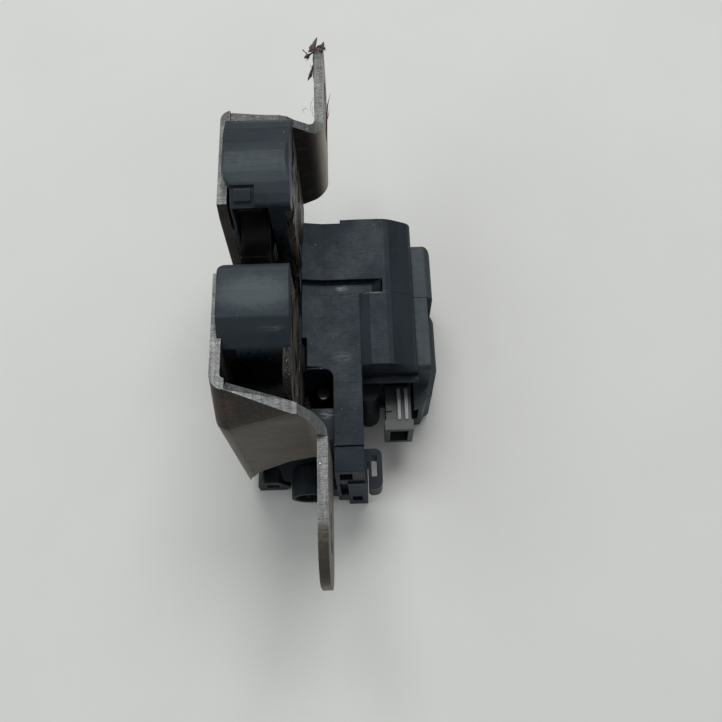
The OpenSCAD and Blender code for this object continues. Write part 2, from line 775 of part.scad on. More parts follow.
module clip_loop() {
  color(black)
  difference() {
    translate([0, 0, 12.6]) linear_extrude(6.6) polygon(rounded([
      [5.3, -30, 0], [9.2, -30, 1.6], [9.2, -39.2, 1.6], [6.1, -39.2, 0.8], [6.1, -33, 0], [5.3, -33, 0]
    ]));
    translate([0, 0, 10]) linear_extrude(7.8) polygon(rounded([
      [6.5, -31.2, 0.6], [8.2, -31.2, 0.6], [8.2, -38.2, 0.6], [6.9, -38.2, 0.3]
    ]));
    block([6.8, -36.4, 17], [8, -31.6, 20]);
  }
}

module guide_pin() {
  color(zinc)
  window_pin_at() {
    translate([0, 0, 2.2]) cylinder(r = 1.4, h = 19);
    translate([0, 0, 2.2]) cylinder(r = 2.1, h = 3.4);
  }
}

module motor() {
  color(zinc)
  difference() {
    union() {
      intersection() {
        bar_y(3.4, 19.6, motor_x, motor_z, motor_r);
        block([-6, 3, motor_z - 8.4], [17, 20, motor_z + 8.4]);
      }
      bar_y(1.7, 3.4, motor_x, motor_z, 3);
    }
    bar_y(0, 8, motor_x, motor_z, 1.06);
    for (a = [45, 225]) translate([motor_x, 3, motor_z]) rotate([0, a, 0]) translate([6, 0, 0])
      rotate([-90, 0, 0]) cylinder(r = 1, h = 1.2);
  }
}

module motor_end_cap() {
  color(black)
  difference() {
    union() {
      intersection() {
        bar_y(19.6, 20.6, motor_x, motor_z, motor_r);
        block([-6, 19, motor_z - 8.4], [17, 21, motor_z + 8.4]);
      }
      bar_y(20.6, 21.1, motor_x, motor_z, 2.6);
    }
    block([motor_x - 5.6, 20, motor_z - 3.2], [motor_x - 4.6, 22, motor_z + 3.2]);
    block([motor_x + 4.6, 20, motor_z - 3.2], [motor_x + 5.6, 22, motor_z + 3.2]);
  }
}

module worm() {
  color(brass)
  union() {
    bar_y(-11.6, 7.6, motor_x, motor_z, 1);
    // A groove faces the wheel's top tooth at rest
    translate([motor_x, wheel_y + 2.25 * worm_pitch, motor_z]) rotate([90, 0, 0])
    linear_extrude(height = worm_l, twist = -360 * worm_l / worm_pitch, slices = 62, $fn = 14)
    translate([worm_r - worm_core_r, 0]) circle(r = worm_core_r, $fn = 14);
  }
}

// Worm wheel outline with straight teeth
module wheel_2d() {
  tooth = 360 / wheel_teeth;
  polygon([
    for (i = [0:wheel_teeth - 1]) each [
      for (k = [[-0.36, -0.75], [-0.13, 0.5], [0.13, 0.5], [0.36, -0.75]])
        let (a = (i + k.x) * tooth, r = wheel_pitch_r + k.y) r * [cos(a), sin(a)]
    ]
  ]);
}

// Snail cam that pushes the pawl's stud: its reach falls off evenly with angle
module cam_2d() {
  polygon([
    for (i = [0:36]) let (a = 150 + i * 10, f = (a - 172) / (0.8 * wheel_turn))
      let (r = cam_high + (cam_low - cam_high) * max(0, min(1, f))) r * [cos(a), sin(a)]
  ]);
}

module worm_wheel() {
  color(nylon)
  difference() {
    union() {
      translate([0, wheel_y, wheel_z]) along_x(motor_x - 1.3, motor_x + 1.3) wheel_2d();
      bar_x(-3.2, motor_x + 2.2, wheel_y, wheel_z, 3);
      translate([0, wheel_y, wheel_z]) along_x(drive_x + 1.6, -3.0) cam_2d();
    }
    bar_x(-10, 12, wheel_y, wheel_z, axle_r + 0.05);
    for (a = [30, 150, 270]) translate([motor_x - 2, wheel_y, wheel_z]) rotate([a, 0, 0])
      translate([0, 0, 4.3]) rotate([0, 90, 0]) cylinder(r = 0.8, h = 4);
  }
}

module wheel_axle() {
  color(steel) bar_x(drive_x, 16.4, wheel_y, wheel_z, axle_r);
}

module microswitch() {
  color(black)
  difference() {
    union() {
      block([0.3, -30.2, 8], [3.7, -20.4, 14.4]);
      bar_x(0.3, 3.7, -28.6, 8.6, 0.9);
    }
    bar_x(-1, 5, -28.4, 12.2, 0.8);
    bar_x(-1, 5, -22.4, 9.8, 0.8);
    translate([2, -24.6, 11]) cylinder(r = 0.95, h = 6);
  }
}

module switch_plunger() {
  color([0.55, 0.10, 0.08])
  translate([2, -24.6, 12.2]) {
    cylinder(r = 0.85, h = 3.4);
    translate([0, 0, 3.3]) sphere(r = 0.85);
  }
}

module connector_socket() {
  color(grey_black)
  difference() {
    union() {
      block([10.6, -24.6, 7.3], [16.5, -14.35, 16.8]);
      block([10.3, -25.2, 7.1], [16.9, -22.8, 17.4]);
      block([10.6, -14.4, 8], [16.5, -13.2, 14]);
      // Two locking ribs on top
      block([13.3, -22.9, 16.7], [14.1, -15.2, 17.6]);
      block([15.0, -22.9, 16.7], [15.8, -15.2, 17.6]);
      block([10.6, -20.6, 16.7], [12.0, -19.2, 17.3]);
    }
    block([11.5, -26, 8.2], [15.7, -16, 16]);
  }
}

module connector_pins() {
  color(brass)
  for (z = [9.6, 12.1, 14.6]) {
    block([13.2, -21.6, z - 0.32], [14.0, -16, z + 0.32]);
  }
}

module base_screws() {
  color(zinc)
  base_screw_places() difference() {
    union() {
      translate([0, 0, 1]) cylinder(r = screw_r, h = 6);
      translate([0, 0, 0.35]) cylinder(r1 = screw_head_r - 0.3, r2 = screw_head_r, h = 0.65);
    }
    translate([-0.2, -1.1, 0]) cube([0.4, 2.2, 0.8]);
    translate([-1.1, -0.2, 0]) cube([2.2, 0.4, 0.8]);
  }
}

frame_plate();
back_plate();
latch_housing();
mouth_buffer();
claw();
claw_jacket();
claw_rivet();
claw_spring();
pawl();
pawl_rivet();
pawl_spring();
actuator_cover();
actuator_base();
arm_cap();
side_cover();
clip_loop();
guide_pin();
motor();
motor_end_cap();
worm();
worm_wheel();
wheel_axle();
microswitch();
switch_plunger();
connector_socket();
connector_pins();
base_screws();
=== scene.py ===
"""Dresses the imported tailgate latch: worn steel, scuffed mouldings, shreds and burrs, light and camera."""

import math

import bmesh
import bpy
from mathutils import Matrix, Vector


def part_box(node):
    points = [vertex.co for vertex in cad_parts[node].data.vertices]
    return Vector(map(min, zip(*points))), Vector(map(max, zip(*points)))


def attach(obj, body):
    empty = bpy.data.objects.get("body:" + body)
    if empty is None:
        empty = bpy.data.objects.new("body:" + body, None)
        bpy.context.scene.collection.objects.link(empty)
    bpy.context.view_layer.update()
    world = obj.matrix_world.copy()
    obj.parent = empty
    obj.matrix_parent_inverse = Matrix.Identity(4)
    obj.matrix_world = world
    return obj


bl_info = {
    "name": "Tailgate latch",
    "version": (1, 0, 0),
    "blender": (4, 5, 0),
    "location": "View3D > Sidebar > Latch",
    "description": "Dresses a worn power tailgate latch and lights it on a pale table",
    "category": "Object",
}

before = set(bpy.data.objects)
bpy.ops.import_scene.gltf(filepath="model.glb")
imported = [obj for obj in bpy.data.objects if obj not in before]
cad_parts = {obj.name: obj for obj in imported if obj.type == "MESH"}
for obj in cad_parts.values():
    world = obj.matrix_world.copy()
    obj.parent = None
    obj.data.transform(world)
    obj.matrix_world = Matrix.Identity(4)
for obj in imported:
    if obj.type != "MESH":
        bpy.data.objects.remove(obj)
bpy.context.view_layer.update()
MM = 0.001
FULL_TURN = 6.28
QUARTER_TURN = 1.57

# Places on the base plate in mm: its mouth, its lower web with the slanting crease, and its ears
MOUTH_Y = 2.5
LOWER_WEB_Y = -24.0
CREASE_X = -19.9
CREASE_Z = 49.5
CREASE_SLOPE = 0.645
EAR_ROOT_Y = 36.5
LOWER_EAR_END_Y = -58.0

# Half the table's width and the camera's place in metres, its sensor in mm, and the light of the room
TABLE_HALF = 3.0
CAMERA_PLACE = (0.0052, -0.0782, 0.1897)
SENSOR_WIDTH = 36.0
ROOM_LIGHT = (0.97, 0.99, 1.0, 1.0)
ROOM_STRENGTH = 0.36

# Shades that wear, dirt and painted shade lay over the colours of the pieces
WORN_PLASTIC = (0.105, 0.115, 0.125, 1.0)
SCRATCHED_PLASTIC = (0.075, 0.083, 0.090, 1.0)
SCUFFED_PLASTIC = (0.20, 0.21, 0.215, 1.0)
COOL_SHEEN = (0.80, 0.92, 1.0, 1.0)
DUST = (0.42, 0.40, 0.37, 1.0)
DUST_FILM = (0.16, 0.16, 0.15, 1.0)
DEEP_SHADE = (0.0015, 0.0015, 0.002, 1.0)
RUST = (0.13, 0.06, 0.03, 1.0)
BROWN_BLOOM = (0.10, 0.075, 0.055, 1.0)
INNER_WEB_DARKER = (0.085, 0.072, 0.062, 1.0)
# Painted shade on the down-facing inner side of the upper web
WEB_SHADE = (0.024, 0.022, 0.022, 1.0)
# Painted shade on the cut edges of the striker mouth
MOUTH_EDGE_SHADE = (0.020, 0.018, 0.017, 1.0)
SCRATCHED_STEEL = (0.26, 0.25, 0.235, 1.0)
BRIGHT_FLECK = (0.66, 0.67, 0.66, 1.0)
DARK_PIT = (0.05, 0.047, 0.045, 1.0)
RUBBED_RIM = (0.52, 0.52, 0.51, 1.0)
# Painted shade of a notch, with a scoring
NOTCH_SHADE_AND_SCORING = (0.006, 0.006, 0.006, 1.0)
DARK_STAIN = (0.022, 0.018, 0.017, 1.0)
RUSTY_STAIN = (0.22, 0.12, 0.10, 1.0)
TORN_LINE = (0.006, 0.005, 0.005, 1.0)
PLATE_FLECK = (0.22, 0.21, 0.20, 1.0)
EDGE_FLECK = (0.45, 0.44, 0.42, 1.0)
SOCKET_RIM = (0.22, 0.23, 0.24, 1.0)
SOCKET_SPECK = (0.02, 0.03, 0.05, 1.0)
SHRED_SPECK = (0.45, 0.36, 0.30, 1.0)


class Tree:
    """Short calls that the trees of materials and of grown pieces share."""

    def join(self, start, end):
        """Links a socket, or sets a plain value."""
        if isinstance(start, bpy.types.NodeSocket):
            self.tree.links.new(start, end)
        else:
            end.default_value = start

    def node(self, kind, inputs=(), **settings):
        """Adds a node. Each of its inputs is a socket, a list of sockets or a plain value."""
        made = self.tree.nodes.new(kind)
        for key, value in settings.items():
            setattr(made, key, value)
        for key, value in dict(inputs).items():
            for each in value if isinstance(value, list) else [value]:
                self.join(each, made.inputs[key])
        return made

    def out(self, kind, inputs=(), which=0, **settings):
        """Adds a node and returns one of its outputs."""
        return self.node(kind, inputs, **settings).outputs[which]


# Materials


class Recipe(Tree):
    """Node tree of one material, with short calls for the nodes that the finishes share."""

    def __init__(self, name):
        self.material = bpy.data.materials.new(name)
        self.material.use_nodes = True
        self.tree = self.material.node_tree
        self.tree.nodes.clear()
        self.shader = self.node("ShaderNodeBsdfPrincipled")
        self.node("ShaderNodeOutputMaterial", {0: self.shader.outputs[0]})
        coords = self.node("ShaderNodeTexCoord").outputs
        to_mm = {0: coords["Object"], "Scale": 1.0 / MM}
        self.place = self.out("ShaderNodeVectorMath", to_mm, operation="SCALE")
        self.facing = coords["Normal"]
        self.height = None

    def math(self, operation, a, b=0.0):
        return self.out("ShaderNodeMath", {0: a, 1: b}, operation=operation)

    def plus(self, a, b):
        return self.math("ADD", a, b)

    def minus(self, a, b):
        return self.math("SUBTRACT", a, b)

    def times(self, a, b):
        return self.math("MULTIPLY", a, b)

    def most(self, a, b):
        """Larger of two values."""
        return self.math("MAXIMUM", a, b)

    def amount(self, a):
        """Value without its sign."""
        return self.math("ABSOLUTE", a)

    def over(self, a, limit):
        """One where a value is over a limit, nought elsewhere."""
        return self.math("GREATER_THAN", a, limit)

    def under(self, a, limit):
        """One where a value is under a limit, nought elsewhere."""
        return self.math("LESS_THAN", a, limit)

    def off(self, a, middle):
        """Distance of a value from a middle."""
        return self.amount(self.plus(a, -middle))

    def axes(self, vector):
        """The three parts of a place, a direction or a colour."""
        return self.node("ShaderNodeSeparateXYZ", {0: vector}).outputs

    def stretched(self, scale, turn=(0.0, 0.0, 0.0)):
        """Place on the piece in mm, turned and then stretched."""
        inputs = {"Vector": self.place, "Rotation": turn, "Scale": scale}
        return self.out("ShaderNodeMapping", inputs)

    def noise(self, scale, detail=3.0, rough=0.6, vector=None, twist=0.0):
        return self.out("ShaderNodeTexNoise", {
            "Vector": vector or self.place, "Scale": scale, "Detail": detail, "Roughness": rough,
            "Distortion": twist,
        })

    def between(self, value, low, high, start=0.0, end=1.0):
        """Smooth step of a value from one limit to another."""
        inputs = {"Value": value, "From Min": low, "From Max": high, "To Min": start, "To Max": end}
        return self.out("ShaderNodeMapRange", inputs, interpolation_type="SMOOTHSTEP")

    def specks(self, scale, size, share):
        """Round specks of a size in mm, in a share of the cells of a grid."""
        made = self.node("ShaderNodeTexVoronoi", {"Vector": self.place, "Scale": scale})
        spot = self.under(made.outputs["Distance"], size * scale)
        return self.times(spot, self.under(self.axes(made.outputs["Color"])[0], share))

    def lines(self, length, width, turn, share):
        """Fine scratches of a length and width in mm, turned about the axes."""
        vector = self.stretched((1.0 / length, 1.0 / width, 1.0 / width), turn)
        return self.between(self.noise(1.0, 2.0, 0.5, vector, 0.4), 1.0 - share, 1.04 - share)

    def blob(self, centre, size, soft=0.4):
        """One ragged patch at a place in mm."""
        inputs = {"Vector": self.place, "Location": centre, "Scale": size}
        local = self.out("ShaderNodeMapping", inputs, vector_type="TEXTURE")
        reach = self.out("ShaderNodeVectorMath", {0: local}, "Value", operation="LENGTH")
        ragged = self.plus(reach, self.times(self.noise(0.9, 4.0, 0.7), 0.8))
        return self.between(ragged, 1.4 + soft, 1.4 - soft)

    def rounded(self, radius):
        """Direction that a place faces once the edges are rounded by a radius in mm."""
        return self.out("ShaderNodeBevel", {"Radius": radius * MM}, samples=4)

    def edges(self, radius, low=0.02, high=0.25):
        """How near a place is to a sharp edge, within a radius in mm."""
        rounded = self.rounded(radius)
        flat = self.out("ShaderNodeNewGeometry", which="Normal")
        same = self.out("ShaderNodeVectorMath", {0: rounded, 1: flat}, "Value", operation="DOT_PRODUCT")
        return self.between(self.minus(1.0, same), low, high)

    def mix(self, share, a, b):
        return self.out("ShaderNodeMix", {0: share, 6: a, 7: b}, 2, data_type="RGBA")

    def coat(self, tone, where, strength, shade):
        """Lays a shade over a tone, by a mask and a strength."""
        return self.mix(self.times(where, strength), tone, shade)

    def clouded(self, scale, detail, rough, colour, dark, pale):
        """Cloudy mask, and a colour that it makes darker and paler."""
        cloudy = self.noise(scale, detail, rough)
        return cloudy, self.mix(self.between(cloudy, 0.3, 0.7), rgba(colour, dark), rgba(colour, pale))

    def raise_by(self, height, depth):
        """Adds relief of a depth in mm."""
        amount = self.times(height, depth)
        self.height = amount if self.height is None else self.plus(self.height, amount)

    def finish(self, colour, rough, metallic=0.0, bevel=0.0, specular=0.5):
        sockets = self.shader.inputs
        self.join(colour, sockets["Base Color"])
        self.join(rough, sockets["Roughness"])
        self.join(metallic, sockets["Metallic"])
        self.join(specular, sockets["Specular IOR Level"])
        normal = self.rounded(bevel) if bevel else None
        if self.height is not None:
            inputs = {"Distance": MM, "Height": self.height}
            if normal:
                inputs["Normal"] = normal
            normal = self.out("ShaderNodeBump", inputs)
        if normal:
            self.join(normal, sockets["Normal"])
        return self.material


def rgba(colour, gain=1.0):
    return (colour[0] * gain, colour[1] * gain, colour[2] * gain, 1.0)


def moulded(name, colour, rough, wear=0.45, scratches=0.2, bevel=0.25,
            marks=(), specks=0.02, painted_shade_places=(), painted_light=()):
    """Moulded plastic with spark-eroded grain, worn edges, scratches, scuffs, places painted lighter as
    painted light and places painted black as painted shade.
    """
    r = Recipe(name)
    cloudy, tone = r.clouded(0.09, 4.0, 0.65, colour, 0.82, 1.22)
    worn = r.times(r.edges(0.35), r.between(r.noise(0.6, 4.0, 0.7), 0.38, 0.62))
    tone = r.coat(tone, worn, wear, WORN_PLASTIC)
    fine = r.most(r.lines(5.0, 0.10, (0.0, 0.0, 0.35), 0.33), r.lines(3.5, 0.08, (0.3, 0.9, -0.8), 0.32))
    cut = r.most(fine, r.lines(14.0, 0.16, (0.1, 0.0, 1.25), 0.30))
    tone = r.coat(tone, cut, scratches, SCRATCHED_PLASTIC)
    for centre, size, strength in marks:
        brushed = r.noise(1.0, 5.0, 0.72, r.stretched((0.35, 2.6, 2.6)))
        scuff = r.times(r.blob(centre, size), r.between(brushed, 0.40, 0.64))
        tone = r.coat(tone, scuff, strength, SCUFFED_PLASTIC)
    tone = r.mix(r.specks(1.1, 0.09, specks), tone, DUST)
    film = r.between(r.noise(0.22, 5.0, 0.7), 0.45, 0.75)
    tone = r.coat(tone, film, 0.04, DUST_FILM)
    # Places painted lighter: painted highlights and painted light
    for centre, size, shade in painted_light:
        tone = r.coat(tone, r.blob(centre, size, 0.5), 0.8, rgba(shade))
    # Places painted near black as painted shade, with less specular there
    painted_shade = 0.0
    for centre, size in painted_shade_places:
        painted_shade = r.most(painted_shade, r.blob(centre, size, 0.2))
    tone = r.mix(painted_shade, tone, DEEP_SHADE)
    r.raise_by(r.noise(7.0, 3.0, 0.7), 0.018)
    r.raise_by(r.noise(0.35, 2.0, 0.5), 0.05)
    r.raise_by(cut, -0.012)
    sheen = r.plus(r.between(cloudy, 0.35, 0.65, rough - 0.07, rough + 0.06), r.times(film, 0.12))
    r.shader.inputs["Specular Tint"].default_value = COOL_SHEEN
    return r.finish(tone, sheen, bevel=bevel, specular=r.between(painted_shade, 0.0, 1.0, 0.23, 0.02))


def bare_metal(name, colour, rough=0.3, grain=(0.0, 0.0, 0.0), rust=0.0, pale=()):
    """Plain steel, brass or zinc with drawn grain, bright edges, a little tarnish and pale spots painted on
    as highlights.
    """
    r = Recipe(name)
    cloudy, tone = r.clouded(0.25, 4.0, 0.65, colour, 0.72, 1.12)
    drawn = r.noise(1.0, 3.0, 0.6, r.stretched((0.12, 9.0, 9.0), grain))
    tone = r.mix(r.between(drawn, 0.4, 0.75, 0.0, 0.5), tone, rgba(colour, 1.45))
    tone = r.coat(tone, r.edges(0.2), 0.5, rgba(colour, 1.7))
    tone = r.coat(tone, r.between(r.noise(0.7, 6.0, 0.75), 0.52, 0.72), rust, RUST)
    # Pale spots painted on as highlights
    for centre, size, shade in pale:
        tone = r.mix(r.blob(centre, size, 0.3), tone, rgba(shade))
    r.raise_by(drawn, 0.012)
    r.raise_by(r.noise(3.0, 4.0, 0.7), 0.01)
    return r.finish(tone, r.between(cloudy, 0.3, 0.7, rough - 0.08, rough + 0.1), 0.85, 0.15)


def rolled_faces(r, face, brown, tint):
    """Skin of the base plate with its stains and scratches, darker lower on the inner web, painted shade and
    a painted highlight, and the masks that others need.
    """
    x, y, z = r.axes(r.place)
    nx, ny, _ = r.axes(r.facing)
    cloudy, skin = r.clouded(0.11, 5.0, 0.68, face, 0.66, 1.18)
    smear = r.noise(1.0, 5.0, 0.7, r.stretched((0.05, 0.30, 0.30), (0.3, 0.5, 0.6)))
    skin = r.coat(skin, r.between(smear, 0.42, 0.70), 0.45, rgba(face, 1.75))
    # Painted shade above the slanting crease of the lower web, where the leaning part turns from the light
    line = r.plus(r.times(r.plus(x, -CREASE_X), CREASE_SLOPE), CREASE_Z)
    above = r.minus(z, line)
    crease_shade = r.times(r.between(above, -4.5, 2.5), r.under(y, LOWER_WEB_Y))
    skin = r.coat(skin, crease_shade, 0.88, rgba(brown))
    skin = r.coat(skin, r.blob((-20.3, -31.5, 54.0), (1.8, 2.6, 3.0)), 0.6, rgba(tint))
    skin = r.mix(r.between(r.noise(0.9, 6.0, 0.78), 0.60, 0.76, 0.0, 0.35), skin, BROWN_BLOOM)
    # Slightly darker towards the bottom on the inner side of the upper web and ear
    darker_lower = r.times(r.between(y, 28.0, 33.0), r.between(z, 58.0, 34.0))
    skin = r.coat(skin, darker_lower, 0.5, INNER_WEB_DARKER)
    # Painted shade on the inner side of the upper web where it faces down, and a painted highlight towards
    # its outer bend
    web = r.between(y, 27.0, 31.0)
    skin = r.coat(skin, r.times(web, r.between(x, -3.6, -1.2)), 0.85, rgba(face, 3.6))
    web_shade_mask = r.times(r.times(web, r.between(x, -2.2, -4.8)), r.under(ny, -0.3))
    skin = r.coat(skin, web_shade_mask, 0.85, WEB_SHADE)
    scratch = r.most(r.lines(7.0, 0.10, (0.2, 0.75, 0.1), 0.36), r.lines(4.0, 0.08, (0.5, -0.6, 0.9), 0.35))
    skin = r.coat(skin, scratch, 0.40, SCRATCHED_STEEL)
    # Painted shade on the cut edges of the striker mouth
    shaded_slot_edge = r.times(r.between(r.off(y, MOUTH_Y), 10.5, 8.5), r.under(r.amount(nx), 0.5))
    skin = r.coat(skin, shaded_slot_edge, 0.85, MOUTH_EDGE_SHADE)
    return skin, cloudy, above, scratch


def pressed_steel(name, face, edge, brown, tint):
    """Pressed sheet: scuffed brownish faces, sheared edges that are bright, pitted and flecked."""
    r = Recipe(name)
    x, y, _ = r.axes(r.place)
    nx, _, nz = r.axes(r.facing)
    # The sheared edges face up or down, or out at the round ends of the ears
    up = r.most(r.over(r.amount(nz), 0.56), r.over(r.times(nx, nz), 0.2))
    round_end = r.times(r.over(r.amount(y), EAR_ROOT_Y), r.under(r.amount(nx), 0.5))
    sheared = r.most(up, round_end)
    skin, cloudy, above, scratch = rolled_faces(r, face, brown, tint)

    # The shear leaves a smooth band and a torn band along the edge
    torn = r.noise(1.0, 3.0, 0.55, r.stretched((1.3, 0.12, 1.3), (0.0, 0.0, 0.04)))
    pits = r.between(r.noise(1.3, 5.0, 0.7), 0.46, 0.66)
    cut = r.mix(r.between(torn, 0.36, 0.64), rgba(edge, 0.62), rgba(edge, 1.05))
    cut = r.coat(cut, pits, 0.16, rgba(edge, 1.45))
    cut = r.mix(r.specks(1.0, 0.14, 0.10), cut, BRIGHT_FLECK)
    cut = r.coat(cut, r.between(r.noise(0.8, 5.0, 0.75), 0.56, 0.66), 0.5, DARK_PIT)
    # Duller along the top of the upper web
    dull = r.times(r.between(y, 28.0, 31.0), r.between(x, -6.0, -9.0))
    cut = r.coat(cut, dull, 0.7, r.mix(pits, rgba(edge, 0.22), rgba(edge, 0.60)))
    # Painted shade: the sheared edge is darker at the round end of the lower ear, where it turns away from
    # the light
    cut = r.mix(r.between(r.off(y, LOWER_EAR_END_Y), 6.6, 4.6), cut, rgba(face, 0.62))
    tone = r.mix(sheared, skin, cut)
    # Torn shreds have stained the tip of the upper ear
    blotch = r.mix(r.between(r.noise(1.5, 3.0, 0.6), 0.48, 0.60), DARK_STAIN, RUSTY_STAIN)
    tone = r.coat(tone, r.blob((-2.4, 60.6, 48.0), (2.2, 4.4, 6.0), 0.25), 0.92, blotch)
    # Edges are rubbed bright, but not the slanting crease
    rim = r.times(r.edges(0.28, 0.08, 0.22), r.between(r.noise(1.6, 5.0, 0.75), 0.36, 0.6))
    off_crease = r.most(r.over(y, LOWER_WEB_Y), r.between(r.amount(above), 0.5, 1.0))
    tone = r.coat(tone, r.times(rim, off_crease), 0.6, RUBBED_RIM)
    # Painted shade of a notch in the top edge beside the upper nose, with a scoring
    tone = r.coat(tone, r.blob((-18.5, 27.7, 60.6), (0.75, 0.45, 1.0), 0.2), 0.9, NOTCH_SHADE_AND_SCORING)

    r.raise_by(r.times(sheared, r.plus(torn, r.times(pits, 0.4))), 0.06)
    r.raise_by(r.noise(0.5, 3.0, 0.6), 0.05)
    r.raise_by(scratch, -0.02)
    r.raise_by(r.noise(6.0, 4.0, 0.7), 0.012)
    rough = r.plus(r.between(cloudy, 0.3, 0.7, 0.40, 0.58), r.times(sheared, -0.05))
    return r.finish(tone, rough, 0.62, 0.12)


def back_steel(name, face, edge, middle_x):
    """Back plate: dark edge with a torn black line, brownish outer face with dark streaks and pale flecks."""
    r = Recipe(name)
    x, y, _ = r.axes(r.place)
    sheared = r.over(r.amount(r.axes(r.facing)[2]), 0.4)
    cloudy, skin = r.clouded(0.12, 5.0, 0.68, face, 0.55, 1.25)
    # Streaks run along the plate from the mouth outwards and fade downwards
    streaks = r.noise(1.0, 5.0, 0.70, r.stretched((1.0, 0.075, 0.24), (0.05, 0.0, 0.0)), 0.35)
    gouge = r.times(r.between(streaks, 0.53, 0.57), r.minus(1.0, sheared))
    skin = r.coat(skin, gouge, 0.9, rgba(face, 0.12))
    pale = r.times(r.between(streaks, 0.47, 0.34), r.between(r.off(y, 10.0), 15.0, 4.0))
    skin = r.coat(skin, pale, 0.6, rgba(edge, 2.6))
    # The inner side is dull and dark beside the lower nose
    dull = r.between(y, -17.0, -19.0)
    inside = r.times(dull, r.under(x, middle_x))
    flecks = r.times(r.specks(0.9, 0.18, 0.05), r.minus(1.0, inside))
    skin = r.mix(flecks, skin, PLATE_FLECK)
    skin = r.coat(skin, inside, 0.6, rgba(edge, 0.4))
    scored = r.noise(1.0, 5.0, 0.72, r.stretched((5.0, 0.35, 0.35)))
    ridges = r.between(scored, 0.32, 0.66)
    cut = r.mix(ridges, rgba(edge, 0.25), rgba(edge, 0.9))
    # The torn line wanders about the middle of the edge, and breaks off here and there
    wander = r.times(r.minus(r.noise(0.55, 5.0, 0.75), 0.5), 1.5)
    beside = r.amount(r.plus(r.plus(x, -middle_x), wander))
    line = r.times(r.between(beside, 0.30, 0.12), r.between(r.noise(0.4, 4.0, 0.7), 0.40, 0.56))
    cut = r.coat(cut, line, 0.95, TORN_LINE)
    cut = r.mix(r.specks(1.5, 0.14, 0.08), cut, EDGE_FLECK)
    cut = r.mix(dull, cut, r.mix(ridges, rgba(edge, 0.15), rgba(edge, 0.35)))
    tone = r.mix(sheared, skin, cut)
    rim = r.times(r.edges(0.2, 0.01, 0.12), r.between(r.noise(1.2, 4.0, 0.7), 0.42, 0.6))
    tone = r.coat(tone, r.times(rim, r.minus(1.0, dull)), 0.4, rgba(edge, 1.8))
    r.raise_by(r.times(sheared, r.minus(scored, line)), 0.14)
    r.raise_by(r.noise(5.0, 4.0, 0.7), 0.012)
    r.raise_by(gouge, -0.08)
    # The gouges are rough and don't shine
    rough = r.most(r.between(cloudy, 0.3, 0.7, 0.42, 0.6), gouge)
    metallic = r.between(gouge, 0.0, 1.0, 0.5, 0.0)
    return r.finish(tone, rough, metallic, 0.1, r.between(gouge, 0.0, 1.0, 0.4, 0.02))


def socket_plastic(name, colour, rib_highlight):
    """Connector moulding whose locking ribs are painted with a pale blue highlight and made smoother."""
    r = Recipe(name)
    x, y, z = r.axes(r.place)
    _, tone = r.clouded(0.2, 4.0, 0.6, colour, 0.8, 1.25)
    # Painted pale blue highlight over the tops of the ribs, where they are also smoother
    rib_highlight_mask = r.times(r.between(z, 16.95, 17.3), r.between(y, -22.9, -22.6))
    rib_highlight_mask = r.times(rib_highlight_mask, r.between(x, 12.9, 13.2))
    streak = r.between(r.noise(1.0, 3.0, 0.6, r.stretched((4.0, 0.5, 2.0))), 0.3, 0.7, 0.55, 1.0)
    tone = r.coat(tone, rib_highlight_mask, streak, rgba(rib_highlight))
    tone = r.coat(tone, r.edges(0.25), 0.4, SOCKET_RIM)
    tone = r.mix(r.specks(1.2, 0.12, 0.12), tone, SOCKET_SPECK)
    r.raise_by(r.noise(8.0, 3.0, 0.7), 0.012)
    return r.finish(tone, r.between(rib_highlight_mask, 0.0, 1.0, 0.42, 0.25), bevel=0.15)


def table_top(name, colour):
    """Smooth pale table with the faintest mottling."""
    r = Recipe(name)
    _, tone = r.clouded(0.02, 4.0, 0.6, colour, 0.985, 1.015)
    tone = r.mix(r.between(r.noise(1.4, 3.0, 0.6), 0.4, 0.8, 0.0, 0.25), tone, rgba(colour, 0.97))
    return r.finish(tone, 0.62, specular=0.25)


def fibre_stuff(name, dark, warm):
    """Torn rusty shreds: near black to red-brown along the heap."""
    r = Recipe(name)
    tone = r.mix(r.between(r.noise(1.1, 3.0, 0.7), 0.4, 0.6), rgba(dark), rgba(warm))
    tone = r.mix(r.specks(2.5, 0.12, 0.3), tone, SHRED_SPECK)
    r.raise_by(r.noise(6.0, 3.0, 0.7), 0.05)
    return r.finish(tone, 0.85)


def plain_stuff(name, scale, dark, pale, low, rough, specular=0.5):
    """Plain stuff that goes from a dark to a pale shade in soft clouds."""
    r = Recipe(name)
    tone = r.mix(r.between(r.noise(scale), low, 1.0 - low), rgba(dark), rgba(pale))
    return r.finish(tone, rough, specular=specular)


def put_on(material, *names):
    """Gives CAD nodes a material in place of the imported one."""
    for name in names:
        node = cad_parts[name]
        if not node.material_slots:
            node.data.materials.append(material)
        for slot in node.material_slots:
            slot.material = material
        for face in node.data.polygons:
            face.use_smooth = False


# Geometry trees


